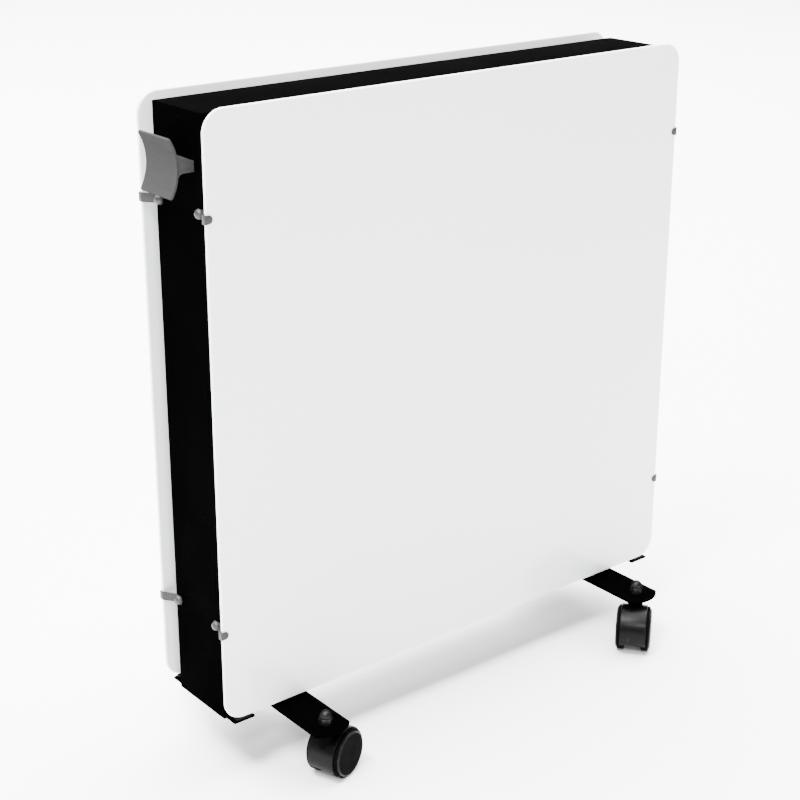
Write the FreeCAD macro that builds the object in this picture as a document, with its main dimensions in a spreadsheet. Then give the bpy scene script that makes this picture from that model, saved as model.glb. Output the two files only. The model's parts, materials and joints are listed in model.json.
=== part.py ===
"""Double-sided glass panel heater on four twin-wheel castors.

Frame: millimetres, +Z up, front towards -Y. The origin is on the floor, under the middle of the casing.
"""
import FreeCAD, Part
import math
import os
import re
import Sketcher

doc = FreeCAD.newDocument("panel_heater")
sheet = doc.addObject("Spreadsheet::Sheet", "Sizes")

# Driving sizes, in millimetres
SIZES = {
    # glass panels and what is bonded to them
    "panel_width": 600,
    "panel_height": 600,
    "panel_glass": 3,
    "panel_corner": 22,
    "panel_gap": 12.5,
    "panel_lap": 8.2,
    "panel_overtop": 6,
    "film_margin": 30,
    "film_thickness": 0.6,
    "terminal_width": 22,
    "terminal_height": 14,
    "terminal_depth": 5,
    "cutout_diameter": 16,
    "cutout_depth": 6,
    "cutout_height": 120,
    # casing
    "casing_depth": 80,
    "wall_sheet": 1.5,
    "cover_sheet": 1.2,
    "cover_flange": 12,
    "cover_fit": 0.2,
    "insulation_thickness": 10,
    "insulation_margin": 14,
    # strips and pads that the panels stand on
    "strip_width": 24,
    "strip_thickness": 2,
    "strip_overhang": 1,
    "slot_fit": 0.3,
    "pad_width": 18,
    "pad_depth": 5,
    "pad_thickness": 2,
    # foot bars
    "bar_width": 42.5,
    "bar_thickness": 3,
    "bar_inset": 73.1,
    "bar_tip": 20,
    "bar_tip_radius": 29,
    "bar_screw_spread": 44,
    # castors
    "castor_headroom": 7,
    "castor_reach": 53,
    "castor_trail": 15,
    "wheel_diameter": 50,
    "wheel_width": 8.4,
    "wheel_track": 27.5,
    "wheel_dome": 1.4,
    "wheel_shoulder": 1.8,
    "hood_wall": 1,
    "hood_width": 28.8,
    "hood_lift": 14,
    "hood_clearance": 0.5,
    "hood_core_gap": 0.5,
    "neck_diameter": 17,
    "neck_gap": 0.4,
    "stem_diameter": 8,
    "stem_grip": 24,
    "stem_collar_diameter": 14,
    "stem_collar": 1.5,
    "stem_thread": 12,
    "axle_diameter": 5,
    "axle_inset": 2.5,
    "running_clearance": 0.05,
    "nut_flats": 13,
    "nut_hex_height": 6.5,
    "nut_dome_diameter": 12.5,
    "nut_height": 15,
    # clips that hold the panels
    "clip_sheet": 1,
    "clip_width": 9,
    "clip_eye": 10.6,
    "clip_tab": 6.6,
    "clip_inset": 96,
    "clip_clearance": 0.2,
    "clip_setback": 6,
    # screws and nuts
    "screw_diameter": 5,
    "screw_head_diameter": 10,
    "screw_head_height": 4.5,
    "screw_length": 12,
    "screw_hole_play": 0.3,
    "screw_nut_flats": 8,
    "screw_nut_height": 4,
    # cord-wrap bracket
    "bracket_sheet": 2.5,
    "bracket_length": 52,
    "bracket_chord": 54,
    "bracket_radius": 48.5,
    "bracket_standoff": 17.2,
    "bracket_drop": 48.8,
    "bracket_leg_root": 10.2,
    "bracket_leg_rise": 12.3,
    "bracket_leg_fall": 10,
    "bracket_tab": 16,
    "bracket_corner": 4,
    # mains inlet gland
    "gland_height": 40,
    "gland_thread": 16,
    "gland_thread_length": 10,
    "gland_flats": 19,
    "gland_hex_height": 5,
    "gland_cap_diameter": 18,
    "gland_cap_length": 14,
    "gland_shoulder": 8.4,
    "gland_nose_diameter": 14,
    "gland_bore": 8,
    "gland_nut_flats": 20,
    "gland_nut_height": 4,
    # rocker switch
    "switch_height": 110,
    "switch_bezel_height": 21,
    "switch_bezel_width": 15,
    "switch_bezel": 2,
    "switch_body_height": 19,
    "switch_body_width": 12.8,
    "switch_body_depth": 16,
    "switch_wall": 1.4,
    "rocker_radius": 7.4,
    "rocker_play": 0.35,
    "rocker_pin_diameter": 2.4,
    "rocker_pin_length": 0.9,
    # wiring inside the casing
    "block_width": 46,
    "block_depth": 24,
    "block_height": 18,
    "block_inset": 170,
    "lead_diameter": 5,
    "lead_bend": 14,
    "lead_height": 90,
    "lead_spread": 14,
    "grommet_flange_diameter": 14,
    "grommet_diameter": 9,
    "grommet_flange": 1.5,
    "tilt_switch_width": 26,
    "tilt_switch_depth": 18,
    "tilt_switch_height": 22,
    "tilt_switch_inset": 240,
}

# Angles, in degrees: how far the rocker tilts, and the castors' headings at rest from +X
ANGLES = {
    "rocker_tilt": 10,
    "angle_front_left": 20,
    "angle_front_right": 220,
    "angle_rear_left": -20,
    "angle_rear_right": 140,
}
NAMED = {**SIZES, **ANGLES}
for row, (alias, number) in enumerate(NAMED.items(), start=1):
    sheet.set(f"A{row}", alias)
    sheet.set(f"B{row}", str(number))
    sheet.setAlias(f"B{row}", alias)
doc.recompute()

# Levels and faces that several pieces share, as formulas of the driving sizes
WHEEL_RADIUS = "(wheel_diameter / 2)"
ROOM_RADIUS = f"({WHEEL_RADIUS} + hood_clearance)"
HOOD_RADIUS = f"({ROOM_RADIUS} + hood_wall)"
BAR_UNDER = f"({WHEEL_RADIUS} + {HOOD_RADIUS} + castor_headroom)"
BAR_TOP = f"({BAR_UNDER} + bar_thickness)"
CASE_INSIDE = f"({BAR_TOP} + wall_sheet)"
STRIP_TOP = f"({CASE_INSIDE} + strip_thickness)"
GLASS_LOW = f"({STRIP_TOP} + pad_thickness)"
GLASS_TOP = f"({GLASS_LOW} + panel_height)"
CASE_TOP = f"({GLASS_TOP} - panel_overtop)"
GLASS_EDGE = "(panel_width / 2)"
END_FACE = f"({GLASS_EDGE} - panel_lap)"
END_INSIDE = f"({END_FACE} - wall_sheet)"
COVER_FACE = "(casing_depth / 2)"
GLASS_INNER = f"({COVER_FACE} + panel_gap)"
GLASS_OUTER = f"({GLASS_INNER} + panel_glass)"
BAR_MID = f"({END_FACE} - bar_inset)"
BLOCK_MID = f"({END_INSIDE} - block_inset)"
TILT_MID = f"({END_INSIDE} - tilt_switch_inset)"
SWIVEL_OUT = f"({GLASS_OUTER} + castor_reach)"
COVER_HALF = f"({END_INSIDE} - cover_fit)"
COVER_LOW = f"({CASE_INSIDE} + cover_fit)"
COVER_HIGH = f"({CASE_TOP} - wall_sheet - cover_fit)"
STRIP_INNER = f"({END_INSIDE} - strip_width)"
CLIP_SCREW_OUT = f"({COVER_FACE} - clip_setback)"
CLIP_HEIGHTS = {"lower": f"({GLASS_LOW} + clip_inset)", "upper": f"({GLASS_TOP} - clip_inset)"}
BRACKET_MID = f"({CASE_TOP} - bracket_drop)"
GLAND_MID = f"({BAR_TOP} + gland_height)"
SWITCH_MID = f"({BAR_TOP} + switch_height)"
BLOCK_TOP = f"({CASE_INSIDE} + block_height)"
LEAD_MID = f"({BLOCK_TOP} + lead_height)"
NECK_TOP = f"({BAR_UNDER} - stem_collar - neck_gap)"
CORE_HALF = "(wheel_track / 2 - wheel_width / 2 - hood_core_gap)"

SIDES = {"left": -1, "right": 1}
ENDS = {"front": -1, "rear": 1}
WORD = re.compile(r"[a-z][a-z_]+")
pieces = []


def formula(text):
    """Writes a formula of plain size names as an expression on the sheet's cells."""
    return WORD.sub(lambda found: "Sizes." + found[0] if found[0] in NAMED else found[0], str(text))


def value(text):
    """Works a formula out to a number."""
    return float(sheet.evalExpression(formula(text)))


def bind(thing, prop, text):
    """Ties one property of a thing to a formula."""
    thing.setExpression(prop, formula(text))


def place(thing, x="0", y="0", z="0", turn=None):
    """Sets a thing's turn and ties its position to formulas."""
    if turn is not None:
        thing.Placement = FreeCAD.Placement(FreeCAD.Vector(), turn)
    for axis, text in zip("xyz", (x, y, z)):
        bind(thing, f"Placement.Base.{axis}", text)
    return thing


def turn_to(x, y, z):
    """The turn that carries +Z to a direction."""
    return FreeCAD.Rotation(FreeCAD.Vector(0, 0, 1), FreeCAD.Vector(x, y, z))


def piece(thing, label):
    """Counts a thing as a finished piece of the heater, under its own name."""
    thing.Label = label
    pieces.append(thing)
    return thing


# Solids


def box(name, x, y, z):
    """A block between pairs of formulas along each axis."""
    made = doc.addObject("Part::Box", name)
    for prop, (low, high) in zip(("Length", "Width", "Height"), (x, y, z)):
        bind(made, prop, f"({high}) - ({low})")
    return place(made, x[0], y[0], z[0])


def rod(name, radius, length, x="0", y="0", z="0", turn=None):
    """A round bar that starts at a point and runs along its turned Z axis."""
    made = doc.addObject("Part::Cylinder", name)
    bind(made, "Radius", radius)
    bind(made, "Height", length)
    return place(made, x, y, z, turn)


def cap(name, radius, height, x="0", y="0", z="0", turn=None):
    """A flat-bottomed dome: the top of a ball, as wide and as high as given."""
    made = doc.addObject("Part::Sphere", name)
    ball = f"(({radius}) ^ 2 + ({height}) ^ 2) / (2 * ({height}))"
    bind(made, "Radius", ball)
    bind(made, "Angle1", f"asin(1 - ({height}) / ({ball}))")
    return place(made, x, y, z, turn)


def hexagon(name, flats, height, x="0", y="0", z="0", turn=None):
    """A hexagonal block of a width across its flats."""
    made = doc.addObject("Part::Prism", name)
    made.Polygon = 6
    bind(made, "Circumradius", f"({flats}) / sqrt(3)")
    bind(made, "Height", height)
    return place(made, x, y, z, turn)


def joined(name, *solids):
    """Solids made into one."""
    made = doc.addObject("Part::MultiFuse", name)
    made.Shapes = list(solids)
    return made


def drilled(name, base, *tools):
    """A base with tools cut out of it."""
    made = doc.addObject("Part::Cut", name)
    made.Base = base
    made.Tool = tools[0] if len(tools) == 1 else joined(name + "_tools", *tools)
    return made


def group(label, solids):
    """Identical small pieces that share one name."""
    made = doc.addObject("Part::Compound", label)
    made.Links = solids
    return piece(made, label)


# Drawn bodies


def body(label):
    """An empty body that is one piece of the heater."""
    return piece(doc.addObject("PartDesign::Body", label), label)


def sketch(owner, name, role, lift="0"):
    """An empty sketch on one of a body's own planes, lifted along that plane's normal."""
    made = owner.newObject("Sketcher::SketchObject", name)
    plane = next(feature for feature in owner.Origin.OriginFeatures if feature.Role == role)
    made.AttachmentSupport = [(plane, "")]
    made.MapMode = "FlatFace"
    bind(made, "AttachmentOffset.Base.z", lift)
    return made


def hold(made, kind, point, text):
    """Ties one coordinate of a sketch's point to a formula."""
    index = made.addConstraint(Sketcher.Constraint(kind, -1, 1, *point, value(text)))
    bind(made, f"Constraints[{index}]", text)


def polygon(made, corners):
    """A closed outline through corners, each a pair of formulas from the sketch's origin."""
    points = [FreeCAD.Vector(value(across), value(up), 0) for across, up in corners]
    count = len(points)
    first = made.GeometryCount
    for index in range(count):
        made.addGeometry(Part.LineSegment(points[index], points[(index + 1) % count]))
    for index in range(count):
        following = first + (index + 1) % count
        made.addConstraint(Sketcher.Constraint("Coincident", first + index, 2, following, 1))
    for index, (across, up) in enumerate(corners):
        hold(made, "DistanceX", (first + index, 1), across)
        hold(made, "DistanceY", (first + index, 1), up)
    return made


def rectangle(made, across, up):
    """A closed rectangle between pairs of formulas."""
    return polygon(made, [(across[0], up[0]), (across[1], up[0]), (across[1], up[1]), (across[0], up[1])])


def circle(made, radius, across="0", up="0"):
    """A circle round a centre given by formulas."""
    centre = FreeCAD.Vector(value(across), value(up), 0)
    index = made.addGeometry(Part.Circle(centre, FreeCAD.Vector(0, 0, 1), value(radius)))
    size = made.addConstraint(Sketcher.Constraint("Radius", index, value(radius)))
    bind(made, f"Constraints[{size}]", radius)
    hold(made, "DistanceX", (index, 3), across)
    hold(made, "DistanceY", (index, 3), up)
    return made


def pad(owner, drawn, length, side="One side", reverse=False):
    """Material added along a sketch's normal."""
    made = owner.newObject("PartDesign::Pad", drawn.Name + "_pad")
    made.Profile = drawn
    made.SideType = side
    made.Reversed = reverse
    bind(made, "Length", length)
    return made


def pocket(owner, drawn, length=None, side="One side", reverse=False):
    """Material cut away along a sketch's normal, right through when no length is given."""
    made = owner.newObject("PartDesign::Pocket", drawn.Name + "_cut")
    made.Profile = drawn
    made.SideType = side
    made.Reversed = reverse
    if length is None:
        made.Type = "ThroughAll"
    else:
        bind(made, "Length", length)
    return made


def rounded(owner, base, radius, wanted):
    """Rounds the edges of a feature that answer to a test."""
    doc.recompute()
    names = [f"Edge{n}" for n, edge in enumerate(base.Shape.Edges, start=1) if wanted(edge)]
    made = owner.newObject("PartDesign::Fillet", base.Name + "_round")
    made.Base = (base, names)
    bind(made, "Radius", radius)
    doc.recompute()
    return made


def runs_along(edge, axis):
    """True for a straight edge along X, Y or Z, given as 0, 1 or 2."""
    if edge.Curve.TypeId != "Part::GeomLine":
        return False
    return abs(abs(edge.Curve.Direction[axis]) - 1) < 1e-6


def at_level(edge, axis, level):
    """True for an edge whose middle lies at a formula's level along an axis."""
    return abs(edge.CenterOfMass[axis] - value(level)) < 1e-3


# Glass panels, heating films, their terminals and thermal cut-outs


def glass_panel(end, sign):
    """A sheet of toughened glass with rounded corners."""
    owner = body(f"glass_panel_{end}")
    lift = GLASS_INNER if sign < 0 else f"-{GLASS_OUTER}"
    outline = sketch(owner, f"glass_outline_{end}", "XZ_Plane", lift)
    rectangle(outline, (f"-{GLASS_EDGE}", GLASS_EDGE), (GLASS_LOW, GLASS_TOP))
    blank = pad(owner, outline, "panel_glass")
    rounded(owner, blank, "panel_corner", lambda edge: runs_along(edge, 1))


def span(sign, near, far):
    """A pair of formulas in rising order for a stretch on the front or rear side."""
    return (near, far) if sign > 0 else (f"-({far})", f"-({near})")


def panel_fittings(end, sign):
    """The heating film on a panel's inner face, its terminal box and its thermal cut-out."""
    film_inner = f"({GLASS_INNER} - film_thickness)"
    terminal_inner = f"({film_inner} - terminal_depth)"
    half = f"({GLASS_EDGE} - film_margin)"
    film = box(
        f"film_{end}",
        (f"-{half}", half),
        span(sign, film_inner, GLASS_INNER),
        (f"{GLASS_LOW} + film_margin", f"{GLASS_TOP} - film_margin"),
    )
    piece(film, f"heating_film_{end}")
    terminal = box(
        f"terminal_{end}",
        (f"{BLOCK_MID} - terminal_width / 2", f"{BLOCK_MID} + terminal_width / 2"),
        span(sign, terminal_inner, film_inner),
        (f"{LEAD_MID} - terminal_height / 2", f"{LEAD_MID} + terminal_height / 2"),
    )
    cutout = rod(
        f"cutout_{end}",
        "cutout_diameter / 2",
        "cutout_depth",
        BLOCK_MID,
        f"{sign} * {film_inner}",
        f"{LEAD_MID} + cutout_height",
        turn_to(0, -sign, 0),
    )
    return terminal, cutout


# Casing walls, covers and insulation


def screw_hole(name, x, y, z, direction):
    """A clearance hole for a screw, long enough to pass a sheet that it starts in front of."""
    radius = "screw_diameter / 2 + screw_hole_play"
    return rod(name, radius, "screw_length", x, y, z, turn_to(*direction))


def clip_holes(name, side):
    """The four clearance holes of one end for the clip screws."""
    hand = SIDES[side]
    start = f"{hand} * ({END_FACE} + screw_length / 3)"
    return [
        screw_hole(f"{name}_{end}_{level}", start, f"{sign} * {CLIP_SCREW_OUT}", height, (-hand, 0, 0))
        for end, sign in ENDS.items()
        for level, height in CLIP_HEIGHTS.items()
    ]


def end_wall(side):
    """A flat end wall, without its cut-outs."""
    hand = SIDES[side]
    across = span(hand, END_INSIDE, END_FACE)
    return box(f"{side}_wall", across, (f"-{COVER_FACE}", COVER_FACE), (BAR_TOP, CASE_TOP))


def left_end():
    """The end wall that carries the bracket, with a slot for each of its legs."""
    tools = clip_holes("left_clip_hole", "left")
    for end, sign in ENDS.items():
        slot = box(
            f"bracket_slot_{end}",
            (f"-{END_FACE} - wall_sheet", f"-{END_INSIDE} + wall_sheet"),
            span(sign, "bracket_length / 2 - bracket_sheet - slot_fit", "bracket_length / 2 + slot_fit"),
            (
                f"{BRACKET_MID} - bracket_leg_root / 2 - slot_fit",
                f"{BRACKET_MID} + bracket_leg_root / 2 + slot_fit",
            ),
        )
        tools.append(slot)
    piece(drilled("left_end", end_wall("left"), *tools), "casing_left_end")


def right_end():
    """The end wall that carries the mains inlet gland and the switch."""
    tools = clip_holes("right_clip_hole", "right")
    through = (f"{END_INSIDE} - wall_sheet", f"{END_FACE} + wall_sheet")
    gland_radius = "gland_thread / 2 + running_clearance"
    outward = turn_to(1, 0, 0)
    tools.append(rod("gland_hole", gland_radius, "3 * wall_sheet", through[0], "0", GLAND_MID, outward))
    half_width = "(switch_body_width / 2 + cover_fit)"
    half_height = "(switch_body_height / 2 + cover_fit)"
    window = box(
        "switch_window",
        through,
        (f"-{half_width}", half_width),
        (f"{SWITCH_MID} - {half_height}", f"{SWITCH_MID} + {half_height}"),
    )
    tools.append(window)
    piece(drilled("right_end", end_wall("right"), *tools), "casing_right_end")


def top_and_bottom():
    """The top and bottom walls, between the ends. The bottom one takes the foot bars' screws."""
    across = (f"-{END_INSIDE}", END_INSIDE)
    deep = (f"-{COVER_FACE}", COVER_FACE)
    top = box("top_wall", across, deep, (f"{CASE_TOP} - wall_sheet", CASE_TOP))
    piece(top, "casing_top")
    bottom = box("bottom_wall", across, deep, (BAR_TOP, CASE_INSIDE))
    tools = [
        screw_hole(f"bottom_hole_{side}_{end}", x, y, BAR_UNDER, (0, 0, 1))
        for side, end, x, y in bar_screw_places()
    ]
    piece(drilled("bottom_end", bottom, *tools), "casing_bottom")


def cover(end, sign):
    """A pan-shaped cover inside the walls, notched for the strips, with a hole for the lead."""
    face = f"({COVER_FACE} - cover_sheet)"
    rim = f"({COVER_FACE} - cover_flange)"
    pan = box(
        f"pan_{end}",
        (f"-{COVER_HALF}", COVER_HALF),
        span(sign, rim, COVER_FACE),
        (COVER_LOW, COVER_HIGH),
    )
    inner = f"({COVER_HALF} - cover_sheet)"
    recess = box(
        f"pan_recess_{end}",
        (f"-{inner}", inner),
        span(sign, f"{rim} - cover_sheet", face),
        (f"{COVER_LOW} + cover_sheet", f"{COVER_HIGH} - cover_sheet"),
    )
    tools = [recess]
    for side, hand in SIDES.items():
        notch = box(
            f"strip_notch_{end}_{side}",
            span(hand, f"{STRIP_INNER} - slot_fit", f"{END_INSIDE} + slot_fit"),
            span(sign, f"{rim} - cover_sheet", f"{COVER_FACE} + cover_sheet"),
            (BAR_TOP, f"{STRIP_TOP} + slot_fit"),
        )
        tools.append(notch)
        for level, height in CLIP_HEIGHTS.items():
            start = f"{hand} * ({END_FACE} + screw_length / 3)"
            tools.append(
                screw_hole(
                    f"cover_hole_{end}_{side}_{level}",
                    start,
                    f"{sign} * {CLIP_SCREW_OUT}",
                    height,
                    (-hand, 0, 0),
                )
            )
    lead_hole = rod(
        f"lead_hole_{end}",
        "grommet_diameter / 2",
        "cover_flange",
        BLOCK_MID,
        f"{sign} * {rim}",
        LEAD_MID,
        turn_to(0, sign, 0),
    )
    tools.append(lead_hole)
    piece(drilled(f"cover_{end}", pan, *tools), f"casing_cover_{end}")


def insulation(end, sign):
    """A board of insulation behind a cover, with a hole that the lead's grommet sits in."""
    outer = f"({COVER_FACE} - cover_sheet)"
    inner = f"({outer} - insulation_thickness)"
    half = f"({COVER_HALF} - cover_sheet - insulation_margin)"
    low = f"({COVER_LOW} + cover_sheet + insulation_margin)"
    high = f"({COVER_HIGH} - cover_sheet - insulation_margin)"
    board = box(f"board_{end}", (f"-{half}", half), span(sign, inner, outer), (low, high))
    hole = rod(
        f"board_hole_{end}",
        "grommet_flange_diameter / 2 + slot_fit",
        "insulation_thickness * 1.5",
        BLOCK_MID,
        f"{sign} * ({inner} - insulation_thickness / 4)",
        LEAD_MID,
        turn_to(0, sign, 0),
    )
    piece(drilled(f"insulation_{end}", board, hole), f"insulation_board_{end}")


# Strips, pads and foot bars


def rest_strip(side, hand):
    """A flat strip through the casing's foot, whose ends carry the panels."""
    reach = f"({GLASS_OUTER} + strip_overhang)"
    strip = box(
        f"strip_{side}",
        span(hand, STRIP_INNER, END_INSIDE),
        (f"-{reach}", reach),
        (CASE_INSIDE, STRIP_TOP),
    )
    piece(strip, f"rest_strip_{side}")


def rest_pads():
    """The rubber pads between the strips' ends and the panels' lower edges."""
    middle = f"({END_INSIDE} - strip_width / 2)"
    pads = [
        box(
            f"pad_{side}_{end}",
            (f"{hand} * {middle} - pad_width / 2", f"{hand} * {middle} + pad_width / 2"),
            span(sign, f"{GLASS_OUTER} - pad_depth", GLASS_OUTER),
            (STRIP_TOP, GLASS_LOW),
        )
        for side, hand in SIDES.items()
        for end, sign in ENDS.items()
    ]
    group("rest_pads", pads)


def bar_screw_places():
    """Side, end and position of each screw that holds a foot bar."""
    return [
        (side, end, f"{hand} * {BAR_MID}", f"{sign} * bar_screw_spread / 2")
        for side, hand in SIDES.items()
        for end, sign in ENDS.items()
    ]


def foot_bar(side, hand):
    """A flat bar under the casing with bowed ends, holes for two castor stems and two screws."""
    owner = body(f"foot_bar_{side}")
    outline = sketch(owner, f"bar_outline_{side}", "XY_Plane", BAR_UNDER)
    half = value("bar_width / 2")
    radius = value("bar_tip_radius")
    tip = value(f"{SWIVEL_OUT} + bar_tip")
    centre = tip - radius
    corner = centre + math.sqrt(radius**2 - half**2)
    lean = math.asin(half / radius)
    normal = FreeCAD.Vector(0, 0, 1)
    for sign, start in ((1, math.pi / 2), (-1, -math.pi / 2)):
        ring = Part.Circle(FreeCAD.Vector(0, sign * centre, 0), normal, radius)
        outline.addGeometry(Part.ArcOfCircle(ring, start - lean, start + lean))
    rear, front = 0, 1
    left = outline.addGeometry(
        Part.LineSegment(FreeCAD.Vector(-half, corner, 0), FreeCAD.Vector(-half, -corner, 0))
    )
    right = outline.addGeometry(
        Part.LineSegment(FreeCAD.Vector(half, -corner, 0), FreeCAD.Vector(half, corner, 0))
    )
    for ends in ((rear, 2, left, 1), (left, 2, front, 1), (front, 2, right, 1), (right, 2, rear, 1)):
        outline.addConstraint(Sketcher.Constraint("Coincident", *ends))
    for arc, sign in ((rear, ""), (front, "-")):
        size = outline.addConstraint(Sketcher.Constraint("Radius", arc, radius))
        bind(outline, f"Constraints[{size}]", "bar_tip_radius")
        outline.addConstraint(Sketcher.Constraint("PointOnObject", arc, 3, -2))
        hold(outline, "DistanceY", (arc, 3), f"{sign}({SWIVEL_OUT} + bar_tip - bar_tip_radius)")
    for edge, sign in ((left, "-"), (right, "")):
        outline.addConstraint(Sketcher.Constraint("Vertical", edge))
        hold(outline, "DistanceX", (edge, 1), f"{sign}bar_width / 2")
    pad(owner, outline, "bar_thickness")
    doc.recompute()
    holes = sketch(owner, f"bar_holes_{side}", "XY_Plane", BAR_UNDER)
    for end, sign in ENDS.items():
        circle(holes, "stem_diameter / 2 + screw_hole_play", "0", f"{sign} * {SWIVEL_OUT}")
        circle(holes, "screw_diameter / 2 + screw_hole_play", "0", f"{sign} * bar_screw_spread / 2")
    pocket(owner, holes, None, "Symmetric")
    place(owner, f"{hand} * {BAR_MID}")


# Screws and nuts


def screw(name, x, y, z, direction):
    """A dome-headed screw: its head's underside is at a point, and its shank runs along a direction."""
    turn = turn_to(*direction)
    back = turn_to(*[-part for part in direction])
    ball = "(screw_head_diameter ^ 2 / 4 + screw_head_height ^ 2) / (2 * screw_head_height)"
    rise = f"{ball} - screw_head_height"
    sunk = [f"{text} + ({part}) * ({rise})" for text, part in zip((x, y, z), direction)]
    head = cap(f"{name}_head", "screw_head_diameter / 2", "screw_head_height", *sunk, back)
    shank = rod(f"{name}_shank", "screw_diameter / 2", "screw_length", x, y, z, turn)
    return joined(name, head, shank)


def screw_nut(name, x, y, z, direction):
    """A hexagonal nut whose seat is at a point."""
    turn = turn_to(*direction)
    blank = hexagon(f"{name}_blank", "screw_nut_flats", "screw_nut_height", x, y, z, turn)
    hole_radius = "screw_diameter / 2 + running_clearance"
    hole = rod(f"{name}_hole", hole_radius, "screw_nut_height", x, y, z, turn)
    return drilled(name, blank, hole)


def clip_fasteners():
    """The screws that hold clips, end walls and covers together, and their nuts inside."""
    screws = []
    nuts = []
    head_seat = f"({END_FACE} + clip_sheet)"
    nut_seat = f"({COVER_HALF} - cover_sheet)"
    for side, hand in SIDES.items():
        for end, sign in ENDS.items():
            for level, height in CLIP_HEIGHTS.items():
                y = f"{sign} * {CLIP_SCREW_OUT}"
                name = f"{side}_{end}_{level}"
                inward = (-hand, 0, 0)
                screws.append(screw(f"clip_screw_{name}", f"{hand} * {head_seat}", y, height, inward))
                nuts.append(screw_nut(f"clip_nut_{name}", f"{hand} * {nut_seat}", y, height, inward))
    group("clip_screws", screws)
    group("clip_nuts", nuts)


def bar_fasteners():
    """The screws that hold the foot bars to the casing's bottom, and their nuts inside."""
    screws = []
    nuts = []
    for side, end, x, y in bar_screw_places():
        screws.append(screw(f"bar_screw_{side}_{end}", x, y, BAR_UNDER, (0, 0, 1)))
        nuts.append(screw_nut(f"bar_nut_{side}_{end}", x, y, CASE_INSIDE, (0, 0, 1)))
    group("foot_bar_screws", screws)
    group("foot_bar_nuts", nuts)


# Panel clips


def panel_clip(side, end, level):
    """A bent strap: a flange with a round eye, a slope to the glass edge, a hook round it and a tab."""
    hand = SIDES[side]
    sign = ENDS[end]
    height = CLIP_HEIGHTS[level]
    name = f"panel_clip_{side}_{end}_{level}"
    owner = body(name)
    flange_end = f"({CLIP_SCREW_OUT} - clip_width / 2 - clip_clearance)"
    inner = f"({GLASS_EDGE} + clip_clearance)"
    hook = f"({GLASS_INNER} - clip_sheet)"
    face = f"({GLASS_OUTER} + clip_clearance)"
    tip = f"({GLASS_EDGE} - clip_tab)"
    slant = f"(atan2({inner} - {END_FACE}; {hook} - {COVER_FACE}))"
    shift = f"(clip_sheet * tan({slant} / 2))"
    outline = [
        (END_FACE, flange_end),
        (END_FACE, COVER_FACE),
        (inner, hook),
        (inner, face),
        (tip, face),
        (tip, f"{face} + clip_sheet"),
        (f"{inner} + clip_sheet", f"{face} + clip_sheet"),
        (f"{inner} + clip_sheet", f"{hook} - {shift}"),
        (f"{END_FACE} + clip_sheet", f"{COVER_FACE} - {shift}"),
        (f"{END_FACE} + clip_sheet", flange_end),
    ]
    drawn = sketch(owner, f"{name}_outline", "XY_Plane", height)
    polygon(drawn, [(f"{hand} * ({across})", f"{sign} * ({deep})") for across, deep in outline])
    strap = pad(owner, drawn, "clip_width", "Symmetric")
    tips = rounded(
        owner,
        strap,
        "clip_width / 2 - clip_clearance",
        lambda edge: abs(edge.Length - value("clip_sheet")) < 1e-3,
    )
    rounded(
        owner,
        tips,
        "clip_sheet",
        lambda edge: runs_along(edge, 2) and at_level(edge, 0, f"{hand} * ({inner} + clip_sheet)"),
    )
    eye = sketch(owner, f"{name}_eye", "YZ_Plane", f"{hand} * {END_FACE}")
    circle(eye, "clip_eye / 2", f"{sign} * {CLIP_SCREW_OUT}", height)
    pad(owner, eye, "clip_sheet", reverse=hand < 0)
    doc.recompute()
    hole = sketch(owner, f"{name}_hole", "YZ_Plane", f"{hand} * {END_FACE}")
    circle(hole, "screw_diameter / 2 + screw_hole_play", f"{sign} * {CLIP_SCREW_OUT}", height)
    pocket(owner, hole, "4 * clip_sheet", "Symmetric")


# Cord-wrap bracket


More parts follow.
